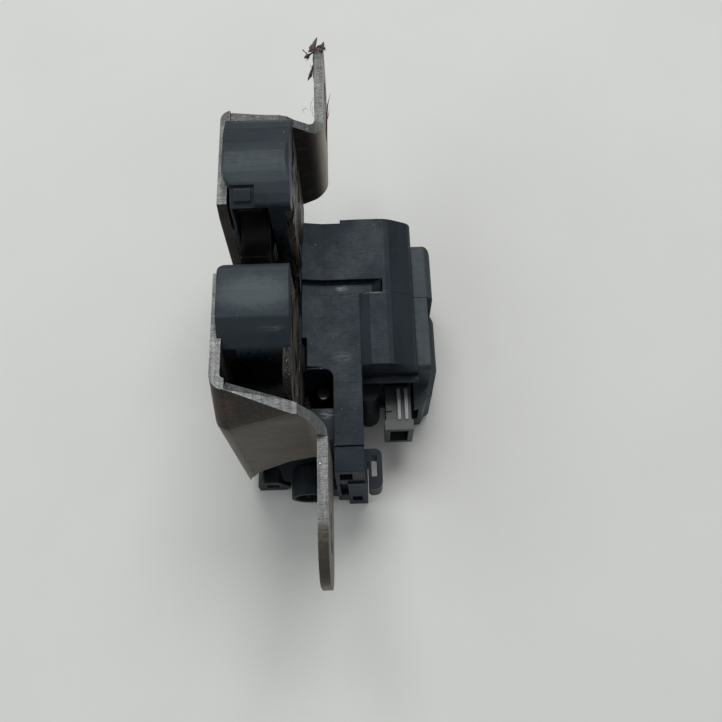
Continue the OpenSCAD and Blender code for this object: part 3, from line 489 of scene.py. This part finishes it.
class Growth(Tree):
    """A geometry node tree with named inputs, which is evaluated to a plain mesh."""

    def __init__(self, name):
        self.name = name
        self.tree = bpy.data.node_groups.new(name, "GeometryNodeTree")
        self.values = {}
        self.tree.interface.new_socket("Geometry", in_out="INPUT", socket_type="NodeSocketGeometry")
        self.tree.interface.new_socket("Geometry", in_out="OUTPUT", socket_type="NodeSocketGeometry")
        self.enter = self.tree.nodes.new("NodeGroupInput")
        self.leave = self.tree.nodes.new("NodeGroupOutput")

    def size(self, name, value, kind="NodeSocketFloat"):
        """Adds a named input and returns its socket inside the tree."""
        made = self.tree.interface.new_socket(name, in_out="INPUT", socket_type=kind)
        self.values[made.identifier] = value
        return self.enter.outputs[name]

    def random(self, seed, low, high):
        """Random vector between two limits."""
        inputs = {"Seed": seed, "Min": low, "Max": high}
        return self.out("FunctionNodeRandomValue", inputs, data_type="FLOAT_VECTOR")

    def ball(self, radius):
        return self.out("GeometryNodeMeshIcoSphere", {"Radius": radius, "Subdivisions": 1})

    def dots(self, density, seed):
        """Points strewn over the faces of the mesh that comes in."""
        inputs = {"Mesh": self.enter.outputs["Geometry"], "Density": density, "Seed": seed}
        return self.out("GeometryNodeDistributePointsOnFaces", inputs)

    def copies(self, points, shape, **inputs):
        """Copies of a shape on points, turned, stretched or picked by the further inputs."""
        return self.out("GeometryNodeInstanceOnPoints", {"Points": points, "Instance": shape, **inputs})

    def run(self, base, last, material, body):
        """Ends the tree, runs it on a mesh and keeps the plain result."""
        real = self.out("GeometryNodeRealizeInstances", {"Geometry": last})
        coated = self.out("GeometryNodeSetMaterial", {"Geometry": real, "Material": material})
        self.tree.links.new(coated, self.leave.inputs[0])
        grower = bpy.data.objects.new(self.name + "_base", base)
        bpy.context.scene.collection.objects.link(grower)
        modifier = grower.modifiers.new(self.name, "NODES")
        modifier.node_group = self.tree
        for identifier, value in self.values.items():
            modifier[identifier] = value
        bpy.context.view_layer.update()
        mesh = bpy.data.meshes.new_from_object(grower.evaluated_get(bpy.context.evaluated_depsgraph_get()))
        mesh.name = self.name
        grower.modifiers.clear()
        bpy.data.objects.remove(grower)
        if not mesh.polygons:
            raise RuntimeError(self.name + " grew nothing")
        piece = bpy.data.objects.new(self.name, mesh)
        bpy.context.scene.collection.objects.link(piece)
        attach(piece, body)
        return piece


def path_mesh(name, runs):
    """Mesh of plain edges through runs of points in mm."""
    points = [Vector(p) * MM for run in runs for p in run]
    links = []
    first = 0
    for run in runs:
        links += [(first + i, first + i + 1) for i in range(len(run) - 1)]
        first += len(run)
    mesh = bpy.data.meshes.new(name)
    mesh.from_pydata(points, links, [])
    return mesh


def patch_mesh(name, patches):
    """Mesh of separate quads, each given by its four corners in mm."""
    points = [Vector(p) * MM for patch in patches for p in patch]
    mesh = bpy.data.meshes.new(name)
    mesh.from_pydata(points, [], [tuple(range(i, i + 4)) for i in range(0, len(points), 4)])
    return mesh


def solid(name, mesh, material, body):
    """Makes a finished piece of a bmesh."""
    bmesh.ops.recalc_face_normals(mesh, faces=mesh.faces)
    data = bpy.data.meshes.new(name)
    mesh.to_mesh(data)
    mesh.free()
    data.materials.append(material)
    piece = bpy.data.objects.new(name, data)
    bpy.context.scene.collection.objects.link(piece)
    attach(piece, body)
    return piece


def strand(mesh, points, radii, sides=6):
    """Closed tapered strand through points in mm."""
    turns = [2.0 * math.pi * k / sides for k in range(sides)]
    rings = []
    for i, point in enumerate(points):
        before = Vector(points[max(i - 1, 0)])
        after = Vector(points[min(i + 1, len(points) - 1)])
        along = (after - before).normalized()
        side = along.orthogonal().normalized()
        other = along.cross(side)
        rings.append([
            mesh.verts.new((Vector(point) + radii[i] * (math.cos(t) * side + math.sin(t) * other)) * MM)
            for t in turns
        ])
    for low, high in zip(rings, rings[1:]):
        for k in range(sides):
            mesh.faces.new((low[k], low[(k + 1) % sides], high[(k + 1) % sides], high[k]))
    mesh.faces.new(rings[0])
    mesh.faces.new(list(reversed(rings[-1])))


# Properties


def colour(name, words, value):
    return bpy.props.FloatVectorProperty(
        name=name, description=words, default=value, size=3, min=0.0, max=1.0, subtype="COLOR")


def length(name, words, value, low, high):
    return bpy.props.FloatProperty(
        name=name, description=words, default=value, min=low, max=high, subtype="DISTANCE", unit="LENGTH")


def angle(name, words, degrees):
    return bpy.props.FloatProperty(
        name=name, description=words, default=math.radians(degrees), subtype="ANGLE", unit="ROTATION")


class LatchFinish(bpy.types.PropertyGroup):
    """Colours of the latch."""

    sheet_face: colour("Sheet face", "Rolled face of the base plate", (0.094, 0.080, 0.065))
    sheet_edge: colour("Sheet edge", "Sheared edge of the base plate", (0.150, 0.157, 0.155))
    # Colour of the painted shade on the leaning part above the crease of the lower web
    sheet_crease_shade: colour("Stained sheet", "Stained corner of the lower web", (0.020, 0.017, 0.014))
    sheet_tint: colour("Brown-red stain", "Stain at the fold of the lower web", (0.072, 0.042, 0.034))
    back_face: colour("Back plate face", "Rolled face of the back plate", (0.085, 0.078, 0.070))
    back_edge: colour("Back plate edge", "Sheared edge of the back plate", (0.060, 0.056, 0.051))
    body: colour("Moulded body", "Plastic of the noses", (0.0155, 0.0210, 0.0265))
    cover: colour("Drive cover", "Plastic of the drive housing", (0.0030, 0.0070, 0.0125))
    foot: colour("Drive base", "Plastic of the drive base and clip", (0.007, 0.0095, 0.013))
    side: colour("Side cover", "Plastic of the side cover", (0.027, 0.034, 0.038))
    socket: colour("Socket", "Plastic of the plug socket", (0.014, 0.017, 0.019))
    # Colour of the painted highlight on the socket ribs
    socket_rib_highlight: colour("Socket ribs", "Rubbed ribs of the plug socket", (0.17, 0.205, 0.23))
    # The claw colour is darker than the phosphate's own, as painted shade in the mouth
    claw: colour("Claw steel", "Phosphated claw and pawl", (0.010, 0.0098, 0.010))
    zinc: colour("Zinc", "Springs, screws, motor and burrs", (0.50, 0.50, 0.48))
    brass: colour("Brass", "Worm and plug contacts", (0.62, 0.43, 0.16))
    nylon: colour("Nylon", "Worm wheel", (0.60, 0.57, 0.48))
    plunger: colour("Plunger", "Switch plunger", (0.38, 0.035, 0.03))
    shred_dark: colour("Dark shreds", "Torn dark shreds on the upper ear", (0.022, 0.019, 0.018))
    shred_warm: colour("Rusty shreds", "Rusty shreds on the upper ear", (0.115, 0.072, 0.064))
    table: colour("Table", "Pale table", (0.615, 0.622, 0.602))


class LatchSizes(bpy.types.PropertyGroup):
    """Sizes of the small pieces on the latch, and the lens and angles of the camera."""

    burr_size: length("Burr size", "Length of a burr on a sheared edge", 0.00022, 0.00005, 0.001)
    burr_step: length("Burr spacing", "Distance between burrs along an edge", 0.00045, 0.0001, 0.01)
    burr_spread: length("Burr spread", "Width of the strip that the burrs stand on", 0.0012, 0.0, 0.01)
    fibre_length: length("Fibre length", "Length of a fibre in the shreds", 0.0011, 0.0005, 0.01)
    fibre_radius: length("Fibre radius", "Radius of a fibre in the shreds", 0.00006, 0.00002, 0.001)
    crumb_radius: length("Crumb radius", "Radius of a crumb in the shreds", 0.00022, 0.00005, 0.001)
    dust_size: length("Dust size", "Radius of a dust grain on the mouldings", 0.00010, 0.00002, 0.001)
    lens: bpy.props.FloatProperty(
        name="Lens", description="Focal length in mm of the camera on a 36 mm sensor",
        default=38.91, min=10.0, max=200.0)
    tilt: angle("Camera tilt", "How far the camera looks down", 67.8)
    roll: angle("Camera roll", "How far the picture is turned", 1.833)


# Operators


class LATCH_OT_plates(bpy.types.Operator):
    """Finish the base plate and the back plate in worn pressed steel"""

    bl_idname = "latch.plates"
    bl_label = "Plates"

    def execute(self, context):
        c = context.scene.latch_finish
        low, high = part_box("back_plate")
        steel = pressed_steel("pressed_steel", c.sheet_face, c.sheet_edge, c.sheet_crease_shade, c.sheet_tint)
        put_on(steel, "frame_plate")
        middle_x = (low.x + high.x) / 2 / MM
        put_on(back_steel("back_steel", c.back_face, c.back_edge, middle_x), "back_plate")
        return {"FINISHED"}


class LATCH_OT_moulding(bpy.types.Operator):
    """Finish the moulded body with its two noses, and the pad in the mouth"""

    bl_idname = "latch.moulding"
    bl_label = "Moulded body"

    def execute(self, context):
        c = context.scene.latch_finish
        # Scuffs, places painted near black as painted shade, and places painted lighter as painted highlights
        # on the crests, each with its middle and reach in mm
        marks = [
            ((-12.0, -12.0, 61.0), (4.0, 1.6, 2.0), 0.10),
            ((-11.2, -17.4, 58.0), (2.6, 0.5, 1.5), 0.45),
            ((-9.4, 21.8, 60.0), (0.30, 0.8, 1.0), 0.7),
        ]
        painted_shade_places = [((-15.0, 2.5, 44.0), (8.0, 8.0, 12.5)), ((-15.0, -24.5, 46.0), (9.0, 4.6, 12.4))]
        painted_light = [
            ((-14.5, -16.0, 59.6), (7.0, 2.6, 2.6), (0.024, 0.031, 0.038)),
            ((-14.5, -11.4, 61.2), (7.0, 2.8, 2.4), (0.072, 0.087, 0.092)),
            ((-14.5, 17.0, 61.0), (7.0, 4.0, 2.4), (0.030, 0.038, 0.041)),
        ]
        plastic = moulded("body_plastic", c.body, rough=0.42, wear=0.4, scratches=0.16, bevel=0.3,
                          marks=marks, specks=0.01, painted_shade_places=painted_shade_places, painted_light=painted_light)
        put_on(plastic, "latch_housing")
        black = (0.004, 0.004, 0.004)
        rubber = moulded("pad_rubber", black, rough=0.75, wear=0.1, scratches=0.1, bevel=0.2)
        put_on(rubber, "mouth_buffer")
        return {"FINISHED"}


class LATCH_OT_works(bpy.types.Operator):
    """Finish the claw, the pawl, their rivets and springs"""

    bl_idname = "latch.works"
    bl_label = "Claw and pawl"

    def execute(self, context):
        c = context.scene.latch_finish
        # The claw and pawl are painted near black as the shade inside the mouth, over their dark phosphate
        forged = bare_metal("claw_steel", c.claw, rough=0.46, grain=(0.2, 0.0, 0.5), rust=0.04)
        put_on(forged, "claw", "pawl")
        black = (0.004, 0.004, 0.005)
        put_on(moulded("jacket_plastic", black, rough=0.42, wear=0.3, bevel=0.15), "claw_jacket")
        brown = (0.055, 0.050, 0.045)
        rivet = bare_metal("rivet_steel", brown, rough=0.45, grain=(0.0, 0.4, 0.0), rust=0.3)
        put_on(rivet, "claw_rivet", "pawl_rivet")
        put_on(bare_metal("spring_steel", c.zinc), "claw_spring", "pawl_spring")
        return {"FINISHED"}


class LATCH_OT_housing(bpy.types.Operator):
    """Finish the drive housing: cover, base, caps, clip, pin and screws"""

    bl_idname = "latch.housing"
    bl_label = "Drive housing"

    def execute(self, context):
        c = context.scene.latch_finish
        # Scuffs, and places painted lighter as painted light and painted highlights, each with its middle and
        # reach in mm
        marks = [
            ((1.4, 5.2, 29.9), (1.3, 0.8, 0.8), 0.9),
            ((8.5, 3.3, 31.3), (3.6, 0.35, 0.8), 0.7),
            ((1.0, -12.2, 30.4), (2.0, 1.4, 1.0), 0.3),
            ((-2.3, -24.4, 27.8), (1.6, 1.1, 1.2), 0.9),
        ]
        painted_light = [
            ((6.5, -6.2, 31.0), (1.3, 9.5, 1.4), (0.020, 0.028, 0.034)),
            ((16.6, 2.0, 31.0), (3.4, 26.0, 7.0), (0.015, 0.020, 0.025)),
            ((8.0, 5.1, 30.0), (6.0, 1.0, 1.2), (0.014, 0.019, 0.022)),
            ((11.8, -15.2, 22.8), (6.0, 1.0, 1.0), (0.050, 0.054, 0.060)),
        ]
        plastic = moulded("cover_plastic", c.cover, rough=0.46, scratches=0.18, bevel=0.3,
                          marks=marks, painted_light=painted_light)
        put_on(plastic, "actuator_cover", "arm_cap")
        put_on(moulded("base_plastic", c.foot, rough=0.50), "actuator_base", "clip_loop")
        put_on(moulded("side_plastic", c.side, rough=0.44), "side_cover")
        # The pin is painted dark as the shade in its deep well, with a painted highlight at the -Y side of
        # its top
        low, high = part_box("guide_pin")
        pin_highlight_spot = ((low.x + high.x) / 2 / MM, low.y / MM + 0.6, high.z / MM)
        pale = [(pin_highlight_spot, (1.0, 0.45, 1.0), (0.40, 0.40, 0.39))]
        grain = (0.0, QUARTER_TURN, 0.0)
        pin = bare_metal("pin_steel", (0.030, 0.031, 0.034), rough=0.45, grain=grain, pale=pale)
        put_on(pin, "guide_pin")
        put_on(bare_metal("screw_steel", c.zinc, rough=0.32, rust=0.2), "base_screws")
        return {"FINISHED"}


class LATCH_OT_drive(bpy.types.Operator):
    """Finish the motor, worm, wheel, axle and switch inside the drive housing"""

    bl_idname = "latch.drive"
    bl_label = "Drive"

    def execute(self, context):
        c = context.scene.latch_finish
        put_on(bare_metal("motor_steel", c.zinc, grain=(0.0, 0.0, QUARTER_TURN)), "motor", "wheel_axle")
        put_on(bare_metal("worm_brass", c.brass, rough=0.28), "worm", "connector_pins")
        nylon = moulded("wheel_nylon", c.nylon, rough=0.40, wear=0.2, scratches=0.1, bevel=0.1)
        put_on(nylon, "worm_wheel")
        black = (0.010, 0.010, 0.012)
        inner = moulded("inner_plastic", black, rough=0.5, wear=0.2, scratches=0.1, bevel=0.2)
        put_on(inner, "motor_end_cap", "microswitch")
        red = moulded("plunger_plastic", c.plunger, rough=0.35, wear=0.1, scratches=0.1, bevel=0.1)
        put_on(red, "switch_plunger")
        put_on(socket_plastic("socket_plastic", c.socket, c.socket_rib_highlight), "connector_socket")
        return {"FINISHED"}


class LATCH_OT_burrs(bpy.types.Operator):
    """Grow bright burrs along the sheared front edges of both plates"""

    bl_idname = "latch.burrs"
    bl_label = "Burrs"

    def execute(self, context):
        c = context.scene.latch_finish
        s = context.scene.latch_sizes
        runs = [
            [(-21.7, -25.9, 57.5), (-21.6, -16.0, 57.5), (-21.6, -5.4, 57.5)],
            [(-21.7, 11.4, 57.5), (-21.7, 28.6, 57.5), (-20.4, 31.9, 56.8), (-17.6, 32.7, 56.3),
             (-14.0, 32.8, 55.85)],
            [(-21.2, -26.9, 57.5), (-19.0, -28.6, 57.5), (-13.0, -31.0, 57.5), (-8.6, -32.8, 57.4)],
            [(-6.6, -33.2, 55.6), (-4.9, -33.4, 53.4)],
            [(-2.45, -37.5, 50.2), (-2.45, -44.0, 50.2), (-2.45, -50.0, 50.2)],
            [(-2.45, 37.5, 50.2), (-2.45, 46.0, 50.2), (-2.45, 52.5, 50.2)],
            [(-8.6, -25.5, 56.2), (-8.6, -16.0, 56.2), (-8.6, -6.5, 56.2)],
            [(-8.6, 12.0, 56.2), (-8.6, 20.0, 56.2), (-8.6, 30.0, 56.2)],
        ]
        g = Growth("edge_burrs")
        size = g.size("Burr size", s.burr_size)
        step = g.size("Spacing", s.burr_step)
        spread = g.size("Spread across the edge", s.burr_spread)
        seed = g.size("Seed", 7, "NodeSocketInt")
        curve = g.out("GeometryNodeMeshToCurve", {"Mesh": g.enter.outputs["Geometry"]})
        dots = g.out("GeometryNodeResampleCurve", {"Curve": curve, "Length": step}, mode="LENGTH")
        reach = g.out("ShaderNodeCombineXYZ", {"X": spread, "Y": spread})
        away = g.random(seed, (-0.5, -0.5, 0.0), (0.5, 0.5, 0.0))
        moved = g.out("ShaderNodeVectorMath", {0: away, 1: reach}, operation="MULTIPLY")
        placed = g.out("GeometryNodeSetPosition", {"Geometry": dots, "Offset": moved})
        turn = g.random(seed, (0.0, 0.0, 0.0), (FULL_TURN, FULL_TURN, FULL_TURN))
        grow = g.random(seed, (0.15, 0.15, 0.1), (1.0, 0.6, 0.35))
        many = g.copies(placed, g.ball(size), Rotation=turn, Scale=grow)
        shiny = bare_metal("burr_steel", c.zinc, rust=0.05)
        piece = g.run(path_mesh("edge_runs", runs), many, shiny, "latch")
        return {"FINISHED"}


class LATCH_OT_tears(bpy.types.Operator):
    """Lay ragged black tears and pale slivers along the outer face of the back plate"""

    bl_idname = "latch.tears"
    bl_label = "Tears"

    def execute(self, context):
        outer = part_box("back_plate")[1].x / MM
        # Each run goes through points in Y and Z, and has a radius, all in mm
        for name, tint, runs in [
            ("black_tears", (0.004, 0.004, 0.004), [
                ([(13.8, 54.6), (12.2, 53.2), (10.4, 54.0), (8.8, 53.4)], 0.30),
                ([(10.2, 41.6), (9.9, 38.4), (8.9, 36.2), (8.6, 33.6)], 0.34),
                ([(-2.4, 48.9), (-3.2, 46.4), (-4.6, 47.4), (-6.3, 44.8)], 0.22),
                ([(-0.6, 38.8), (-2.8, 39.6), (-5.0, 38.0), (-7.4, 38.6)], 0.14),
                ([(-8.6, 44.0), (-10.6, 43.0), (-12.4, 43.8), (-14.0, 42.6)], 0.12),
                ([(-17.3, 47.6), (-18.9, 46.6), (-20.2, 45.6), (-22.2, 46.4)], 0.26),
                ([(-11.6, 34.4), (-12.4, 32.6), (-13.6, 33.4)], 0.18),
                ([(-23.8, 50.4), (-25.2, 49.4), (-26.6, 49.8), (-28.0, 48.6)], 0.16),
                ([(23.6, 55.0), (21.0, 54.0), (18.6, 54.6), (16.4, 53.8)], 0.14),
            ]),
            ("pale_slivers", (0.26, 0.255, 0.245), [
                ([(15.4, 50.4), (13.6, 49.0), (12.2, 48.6), (10.6, 47.6)], 0.20),
                ([(12.8, 46.8), (11.6, 45.0), (10.8, 44.2)], 0.12),
                ([(6.2, 36.2), (4.4, 34.6), (2.8, 33.4)], 0.08),
                ([(-15.4, 38.0), (-16.8, 37.2), (-18.4, 37.8)], 0.08),
                ([(-22.8, 43.4), (-24.2, 42.4), (-25.6, 43.0)], 0.10),
            ]),
        ]:
            made = bmesh.new()
            for run, radius in runs:
                points = [(outer + 0.1 * radius, y, z) for y, z in run]
                inner = [radius * (0.75 + 0.5 * (i % 2)) for i in range(len(run) - 2)]
                strand(made, points, (0.2 * radius, *inner, 0.15 * radius))
            dark, pale = rgba(tint, 0.7), rgba(tint, 1.2)
            stuff = plain_stuff(name, 1.2, dark, pale, low=0.35, rough=0.8, specular=0.1)
            solid(name, made, stuff, "latch")
        return {"FINISHED"}


class LATCH_OT_shreds(bpy.types.Operator):
    """Grow the torn rusty shreds on the tip and side of the upper ear"""

    bl_idname = "latch.shreds"
    bl_label = "Shreds"

    def execute(self, context):
        c = context.scene.latch_finish
        s = context.scene.latch_sizes
        stuff = fibre_stuff("torn_shreds", c.shred_dark, c.shred_warm)
        patches = [
            [(-4.4, 56.5, 49.8), (-3.3, 56.5, 50.2), (-2.7, 60.0, 49.6), (-3.8, 58.4, 49.6)],
            [(-2.2, 57.0, 50.1), (-0.9, 56.6, 50.0), (-1.1, 58.8, 49.7), (-2.0, 58.6, 49.7)],
            [(-5.7, 56.6, 47.4), (-4.5, 56.4, 47.4), (-4.4, 57.7, 47.6), (-5.5, 57.9, 47.6)],
            [(-4.2, 55.2, 46.4), (-3.9, 53.0, 46.4), (-5.2, 51.2, 46.2), (-4.7, 53.2, 46.2)],
            [(-3.8, 58.0, 48.4), (-3.5, 58.0, 48.6), (-3.6, 50.0, 47.4), (-3.8, 50.0, 47.2)],
        ]
        g = Growth("ear_shreds")
        reach = g.size("Fibre length", s.fibre_length)
        radius = g.size("Fibre radius", s.fibre_radius)
        crumb = g.size("Crumb radius", s.crumb_radius)
        density = g.size("Crumbs per square metre", 8.0e6)
        seed = g.size("Seed", 3, "NodeSocketInt")
        dots = g.dots(density, seed)
        turn = g.random(seed, (-3.1, -3.1, -3.1), (3.1, 3.1, 3.1))
        grow = g.random(seed, (0.3, 0.2, 0.2), (1.5, 0.9, 0.7))
        lumps = g.copies(dots, g.ball(crumb), Rotation=turn, Scale=grow)
        bow = g.out("GeometryNodeCurveArc", {"Resolution": 5, "Radius": reach, "Sweep Angle": 1.3})
        ring = g.out("GeometryNodeCurvePrimitiveCircle", {"Resolution": 4, "Radius": radius})
        fibre = g.out("GeometryNodeCurveToMesh", {"Curve": bow, "Profile Curve": ring, "Fill Caps": True})
        # The arc starts a radius away from its own origin, so it is moved back to start at the point
        back = g.out("ShaderNodeMath", {0: reach, 1: -1.0}, operation="MULTIPLY")
        shift = g.out("ShaderNodeCombineXYZ", {"X": back})
        root = g.out("GeometryNodeTransform", {"Geometry": fibre, "Translation": shift})
        # The fourth output is the one that says yes or no
        some = g.out("FunctionNodeRandomValue", {"Probability": 0.35, "Seed": seed}, 3, data_type="BOOLEAN")
        fibres = g.copies(dots, root, Selection=some, Rotation=turn, Scale=grow)
        both = g.out("GeometryNodeJoinGeometry", {0: [lumps, fibres]})
        piece = g.run(patch_mesh("shred_patches", patches), both, stuff, "latch")

        shreds = bmesh.new()
        for points, radii in [
            # Torn points that stand up from the tip
            ([(-3.6, 56.0, 50.0), (-3.5, 57.6, 50.2), (-3.1, 59.2, 50.0), (-2.6, 60.8, 49.8)],
             (0.35, 0.55, 0.40, 0.05)),
            ([(-4.0, 56.4, 49.9), (-4.2, 57.3, 50.0), (-3.9, 58.2, 49.9), (-3.4, 58.9, 49.8)],
             (0.20, 0.40, 0.30, 0.05)),
            ([(-3.9, 57.0, 49.8), (-4.5, 56.7, 49.8), (-4.8, 56.2, 49.8)], (0.30, 0.22, 0.04)),
            ([(-1.5, 56.2, 50.0), (-1.6, 57.2, 50.2), (-1.3, 58.3, 50.0), (-1.1, 59.4, 49.8)],
             (0.30, 0.55, 0.40, 0.05)),
            ([(-1.3, 57.0, 50.0), (-0.9, 57.2, 50.0), (-0.6, 56.4, 49.9)], (0.35, 0.28, 0.04)),
            ([(-2.6, 57.6, 50.0), (-2.2, 57.9, 50.1), (-1.7, 57.6, 50.0)], (0.25, 0.20, 0.15)),
            # Blob and wedge on the left side, each held by a thread
            ([(-3.4, 58.2, 47.8), (-4.4, 57.9, 47.6), (-5.2, 57.3, 47.4), (-5.9, 56.9, 47.4)],
             (0.10, 0.20, 0.50, 0.05)),
            ([(-5.1, 57.3, 47.4), (-5.3, 58.4, 47.4), (-5.7, 59.0, 47.2)], (0.30, 0.16, 0.04)),
            ([(-5.6, 58.9, 47.0), (-6.0, 59.8, 46.8), (-6.4, 60.4, 46.6)], (0.05, 0.16, 0.03)),
            ([(-3.5, 56.4, 46.6), (-4.0, 54.6, 46.4), (-4.5, 52.8, 46.2), (-5.1, 51.4, 46.0)],
             (0.10, 0.24, 0.42, 0.05)),
            ([(-3.55, 57.4, 48.6), (-3.62, 55.6, 48.2), (-3.55, 53.4, 48.0), (-3.62, 51.4, 47.8),
              (-3.5, 49.4, 47.6)], (0.12, 0.20, 0.14, 0.20, 0.04)),
        ]:
            strand(shreds, points, radii)
        solid("ear_strips", shreds, stuff, "latch")

        # A dark hair caught on the right side, and pale threads in the corner of the bend
        hair = bmesh.new()
        curl = [(-1.3, 40.4, 37.8), (-1.2, 41.6, 40.4), (-1.0, 42.6, 43.2), (-0.6, 44.2, 46.0),
                (0.2, 46.4, 47.6)]
        strand(hair, curl, (0.05, 0.16, 0.20, 0.13, 0.03))
        branch = [(-1.1, 42.4, 42.4), (-0.6, 43.0, 43.6), (-0.2, 44.6, 44.6)]
        strand(hair, branch, (0.08, 0.09, 0.02))
        solid("caught_hair", hair, stuff, "latch")
        threads = bmesh.new()
        for points in [
            [(-3.5, 43.6, 49.4), (-4.1, 42.0, 49.6), (-4.3, 40.2, 49.6), (-3.8, 38.6, 49.6)],
            [(-3.5, 41.0, 49.6), (-3.9, 40.0, 49.8), (-3.8, 38.4, 49.8), (-3.4, 37.4, 49.9)],
            [(-5.6, 38.2, 50.6), (-6.0, 39.2, 50.4), (-5.4, 40.0, 50.2), (-4.8, 39.4, 50.2)],
        ]:
            strand(threads, points, (0.03, 0.07, 0.06, 0.02), 4)
        pale = plain_stuff("pale_thread", 1.5, (0.18, 0.18, 0.17), (0.42, 0.42, 0.40), low=0.3, rough=0.8)
        solid("pale_threads", threads, pale, "latch")
        return {"FINISHED"}


class LATCH_OT_dust(bpy.types.Operator):
    """Strew pale dust grains over the lit tops of the mouldings"""

    bl_idname = "latch.dust"
    bl_label = "Dust"

    def execute(self, context):
        s = context.scene.latch_sizes
        patches = [
            [(-3.0, -13.5, 30.41), (5.0, -13.5, 30.41), (5.0, 3.0, 30.41), (-3.0, 3.0, 30.41)],
            [(-1.0, -31.5, 30.41), (5.0, -31.5, 30.41), (5.0, -15.0, 30.41), (-1.0, -15.0, 30.41)],
            [(-4.6, -27.2, 27.61), (-1.4, -27.2, 27.61), (-1.4, -23.2, 27.61), (-4.6, -23.2, 27.61)],
            [(-4.4, -25.4, 27.61), (-1.4, -25.4, 27.61), (-1.4, -23.2, 27.61), (-4.4, -23.2, 27.61)],
        ]
        g = Growth("dust_grains")
        size = g.size("Grain size", s.dust_size)
        density = g.size("Grains per square metre", 1.6e5)
        seed = g.size("Seed", 11, "NodeSocketInt")
        grow = g.random(seed, (0.3, 0.3, 0.2), (1.2, 0.9, 0.5))
        many = g.copies(g.dots(density, seed), g.ball(size), Scale=grow)
        pale = plain_stuff("pale_dust", 0.8, (0.10, 0.10, 0.10), (0.30, 0.30, 0.29), low=0.3, rough=0.9)
        piece = g.run(patch_mesh("dust_patches", patches), many, pale, "latch")
        return {"FINISHED"}


class LATCH_OT_stage(bpy.types.Operator):
    """Lay the pale table, light it softly and set up the camera"""

    bl_idname = "latch.stage"
    bl_label = "Stage"

    def execute(self, context):
        scene = context.scene
        c = scene.latch_finish
        s = scene.latch_sizes
        top = bmesh.new()
        bmesh.ops.create_grid(top, x_segments=8, y_segments=8, size=TABLE_HALF)
        data = bpy.data.meshes.new("table")
        top.to_mesh(data)
        top.free()
        data.materials.append(table_top("table_top", c.table))
        table = bpy.data.objects.new("table", data)
        scene.collection.objects.link(table)

        world = bpy.data.worlds.new("room")
        scene.world = world
        world.use_nodes = True
        world.node_tree.nodes.clear()
        new, link = world.node_tree.nodes.new, world.node_tree.links.new
        # The camera sees a room as pale as the table, and the latch is lit by a dimmer one
        ray = new("ShaderNodeLightPath")
        choose = new("ShaderNodeMixShader")
        link(ray.outputs["Is Camera Ray"], choose.inputs[0])
        for slot, shade, strength in (1, ROOM_LIGHT, ROOM_STRENGTH), (2, rgba(c.table), 1.0):
            glow = new("ShaderNodeBackground")
            glow.inputs["Color"].default_value = shade
            glow.inputs["Strength"].default_value = strength
            link(glow.outputs[0], choose.inputs[slot])
        link(choose.outputs[0], new("ShaderNodeOutputWorld").inputs[0])

        # Each lamp has its place and size in metres, its power in watts and its colour
        aim = Vector((0.0, 0.0, 0.03))
        for name, place, size, power, tint in [
            ("ceiling", (0.05, 0.50, 1.02), (0.90, 0.50), 8.6, (1.0, 0.995, 0.985)),
            ("window", (-0.80, -0.10, 0.70), (0.60, 0.60), 2.0, (0.93, 0.97, 1.0)),
            ("front", (0.25, -0.95, 0.75), (0.50, 0.40), 0.5, (1.0, 0.98, 0.95)),
        ]:
            lamp = bpy.data.lights.new(name, "AREA")
            lamp.shape = "RECTANGLE"
            lamp.size, lamp.size_y = size
            lamp.energy = power
            lamp.color = tint
            light = bpy.data.objects.new(name, lamp)
            light.location = place
            light.rotation_euler = (aim - Vector(place)).to_track_quat("-Z", "Y").to_euler()
            scene.collection.objects.link(light)

        eye = bpy.data.cameras.new("camera")
        eye.lens = s.lens
        eye.sensor_width = SENSOR_WIDTH
        eye.clip_start = 0.01
        camera = bpy.data.objects.new("camera", eye)
        ahead = Vector((0.0, math.cos(s.tilt), -math.sin(s.tilt)))
        right = Vector((1.0, 0.0, 0.0))
        above = right.cross(ahead)
        turned_right = math.cos(s.roll) * right - math.sin(s.roll) * above
        turned_up = math.cos(s.roll) * above + math.sin(s.roll) * right
        rows = Matrix((turned_right, turned_up, -ahead)).transposed()
        camera.matrix_world = Matrix.Translation(CAMERA_PLACE) @ rows.to_4x4()
        scene.collection.objects.link(camera)
        scene.camera = camera
        scene.view_settings.view_transform = "Standard"
        return {"FINISHED"}


PIECES = (
    LATCH_OT_tears, LATCH_OT_plates, LATCH_OT_moulding, LATCH_OT_works, LATCH_OT_housing, LATCH_OT_drive,
    LATCH_OT_burrs, LATCH_OT_shreds, LATCH_OT_dust, LATCH_OT_stage,
)


class LATCH_PT_panel(bpy.types.Panel):
    """Lists the steps that dress the latch"""

    bl_idname = "LATCH_PT_panel"
    bl_label = "Tailgate latch"
    bl_space_type = "VIEW_3D"
    bl_region_type = "UI"
    bl_category = "Latch"

    def draw(self, context):
        for piece in PIECES:
            self.layout.operator(piece.bl_idname)
        for group in (context.scene.latch_sizes, context.scene.latch_finish):
            for name in group.__annotations__:
                self.layout.prop(group, name)


CLASSES = (LatchFinish, LatchSizes) + PIECES + (LATCH_PT_panel,)


def register():
    for each in CLASSES:
        bpy.utils.register_class(each)
    bpy.types.Scene.latch_finish = bpy.props.PointerProperty(type=LatchFinish)
    bpy.types.Scene.latch_sizes = bpy.props.PointerProperty(type=LatchSizes)


def unregister():
    del bpy.types.Scene.latch_sizes
    del bpy.types.Scene.latch_finish
    for each in reversed(CLASSES):
        bpy.utils.unregister_class(each)


def main():
    register()
    for piece in PIECES:
        group, name = piece.bl_idname.split(".")
        getattr(getattr(bpy.ops, group), name)()


if __name__ == "__main__":
    main()
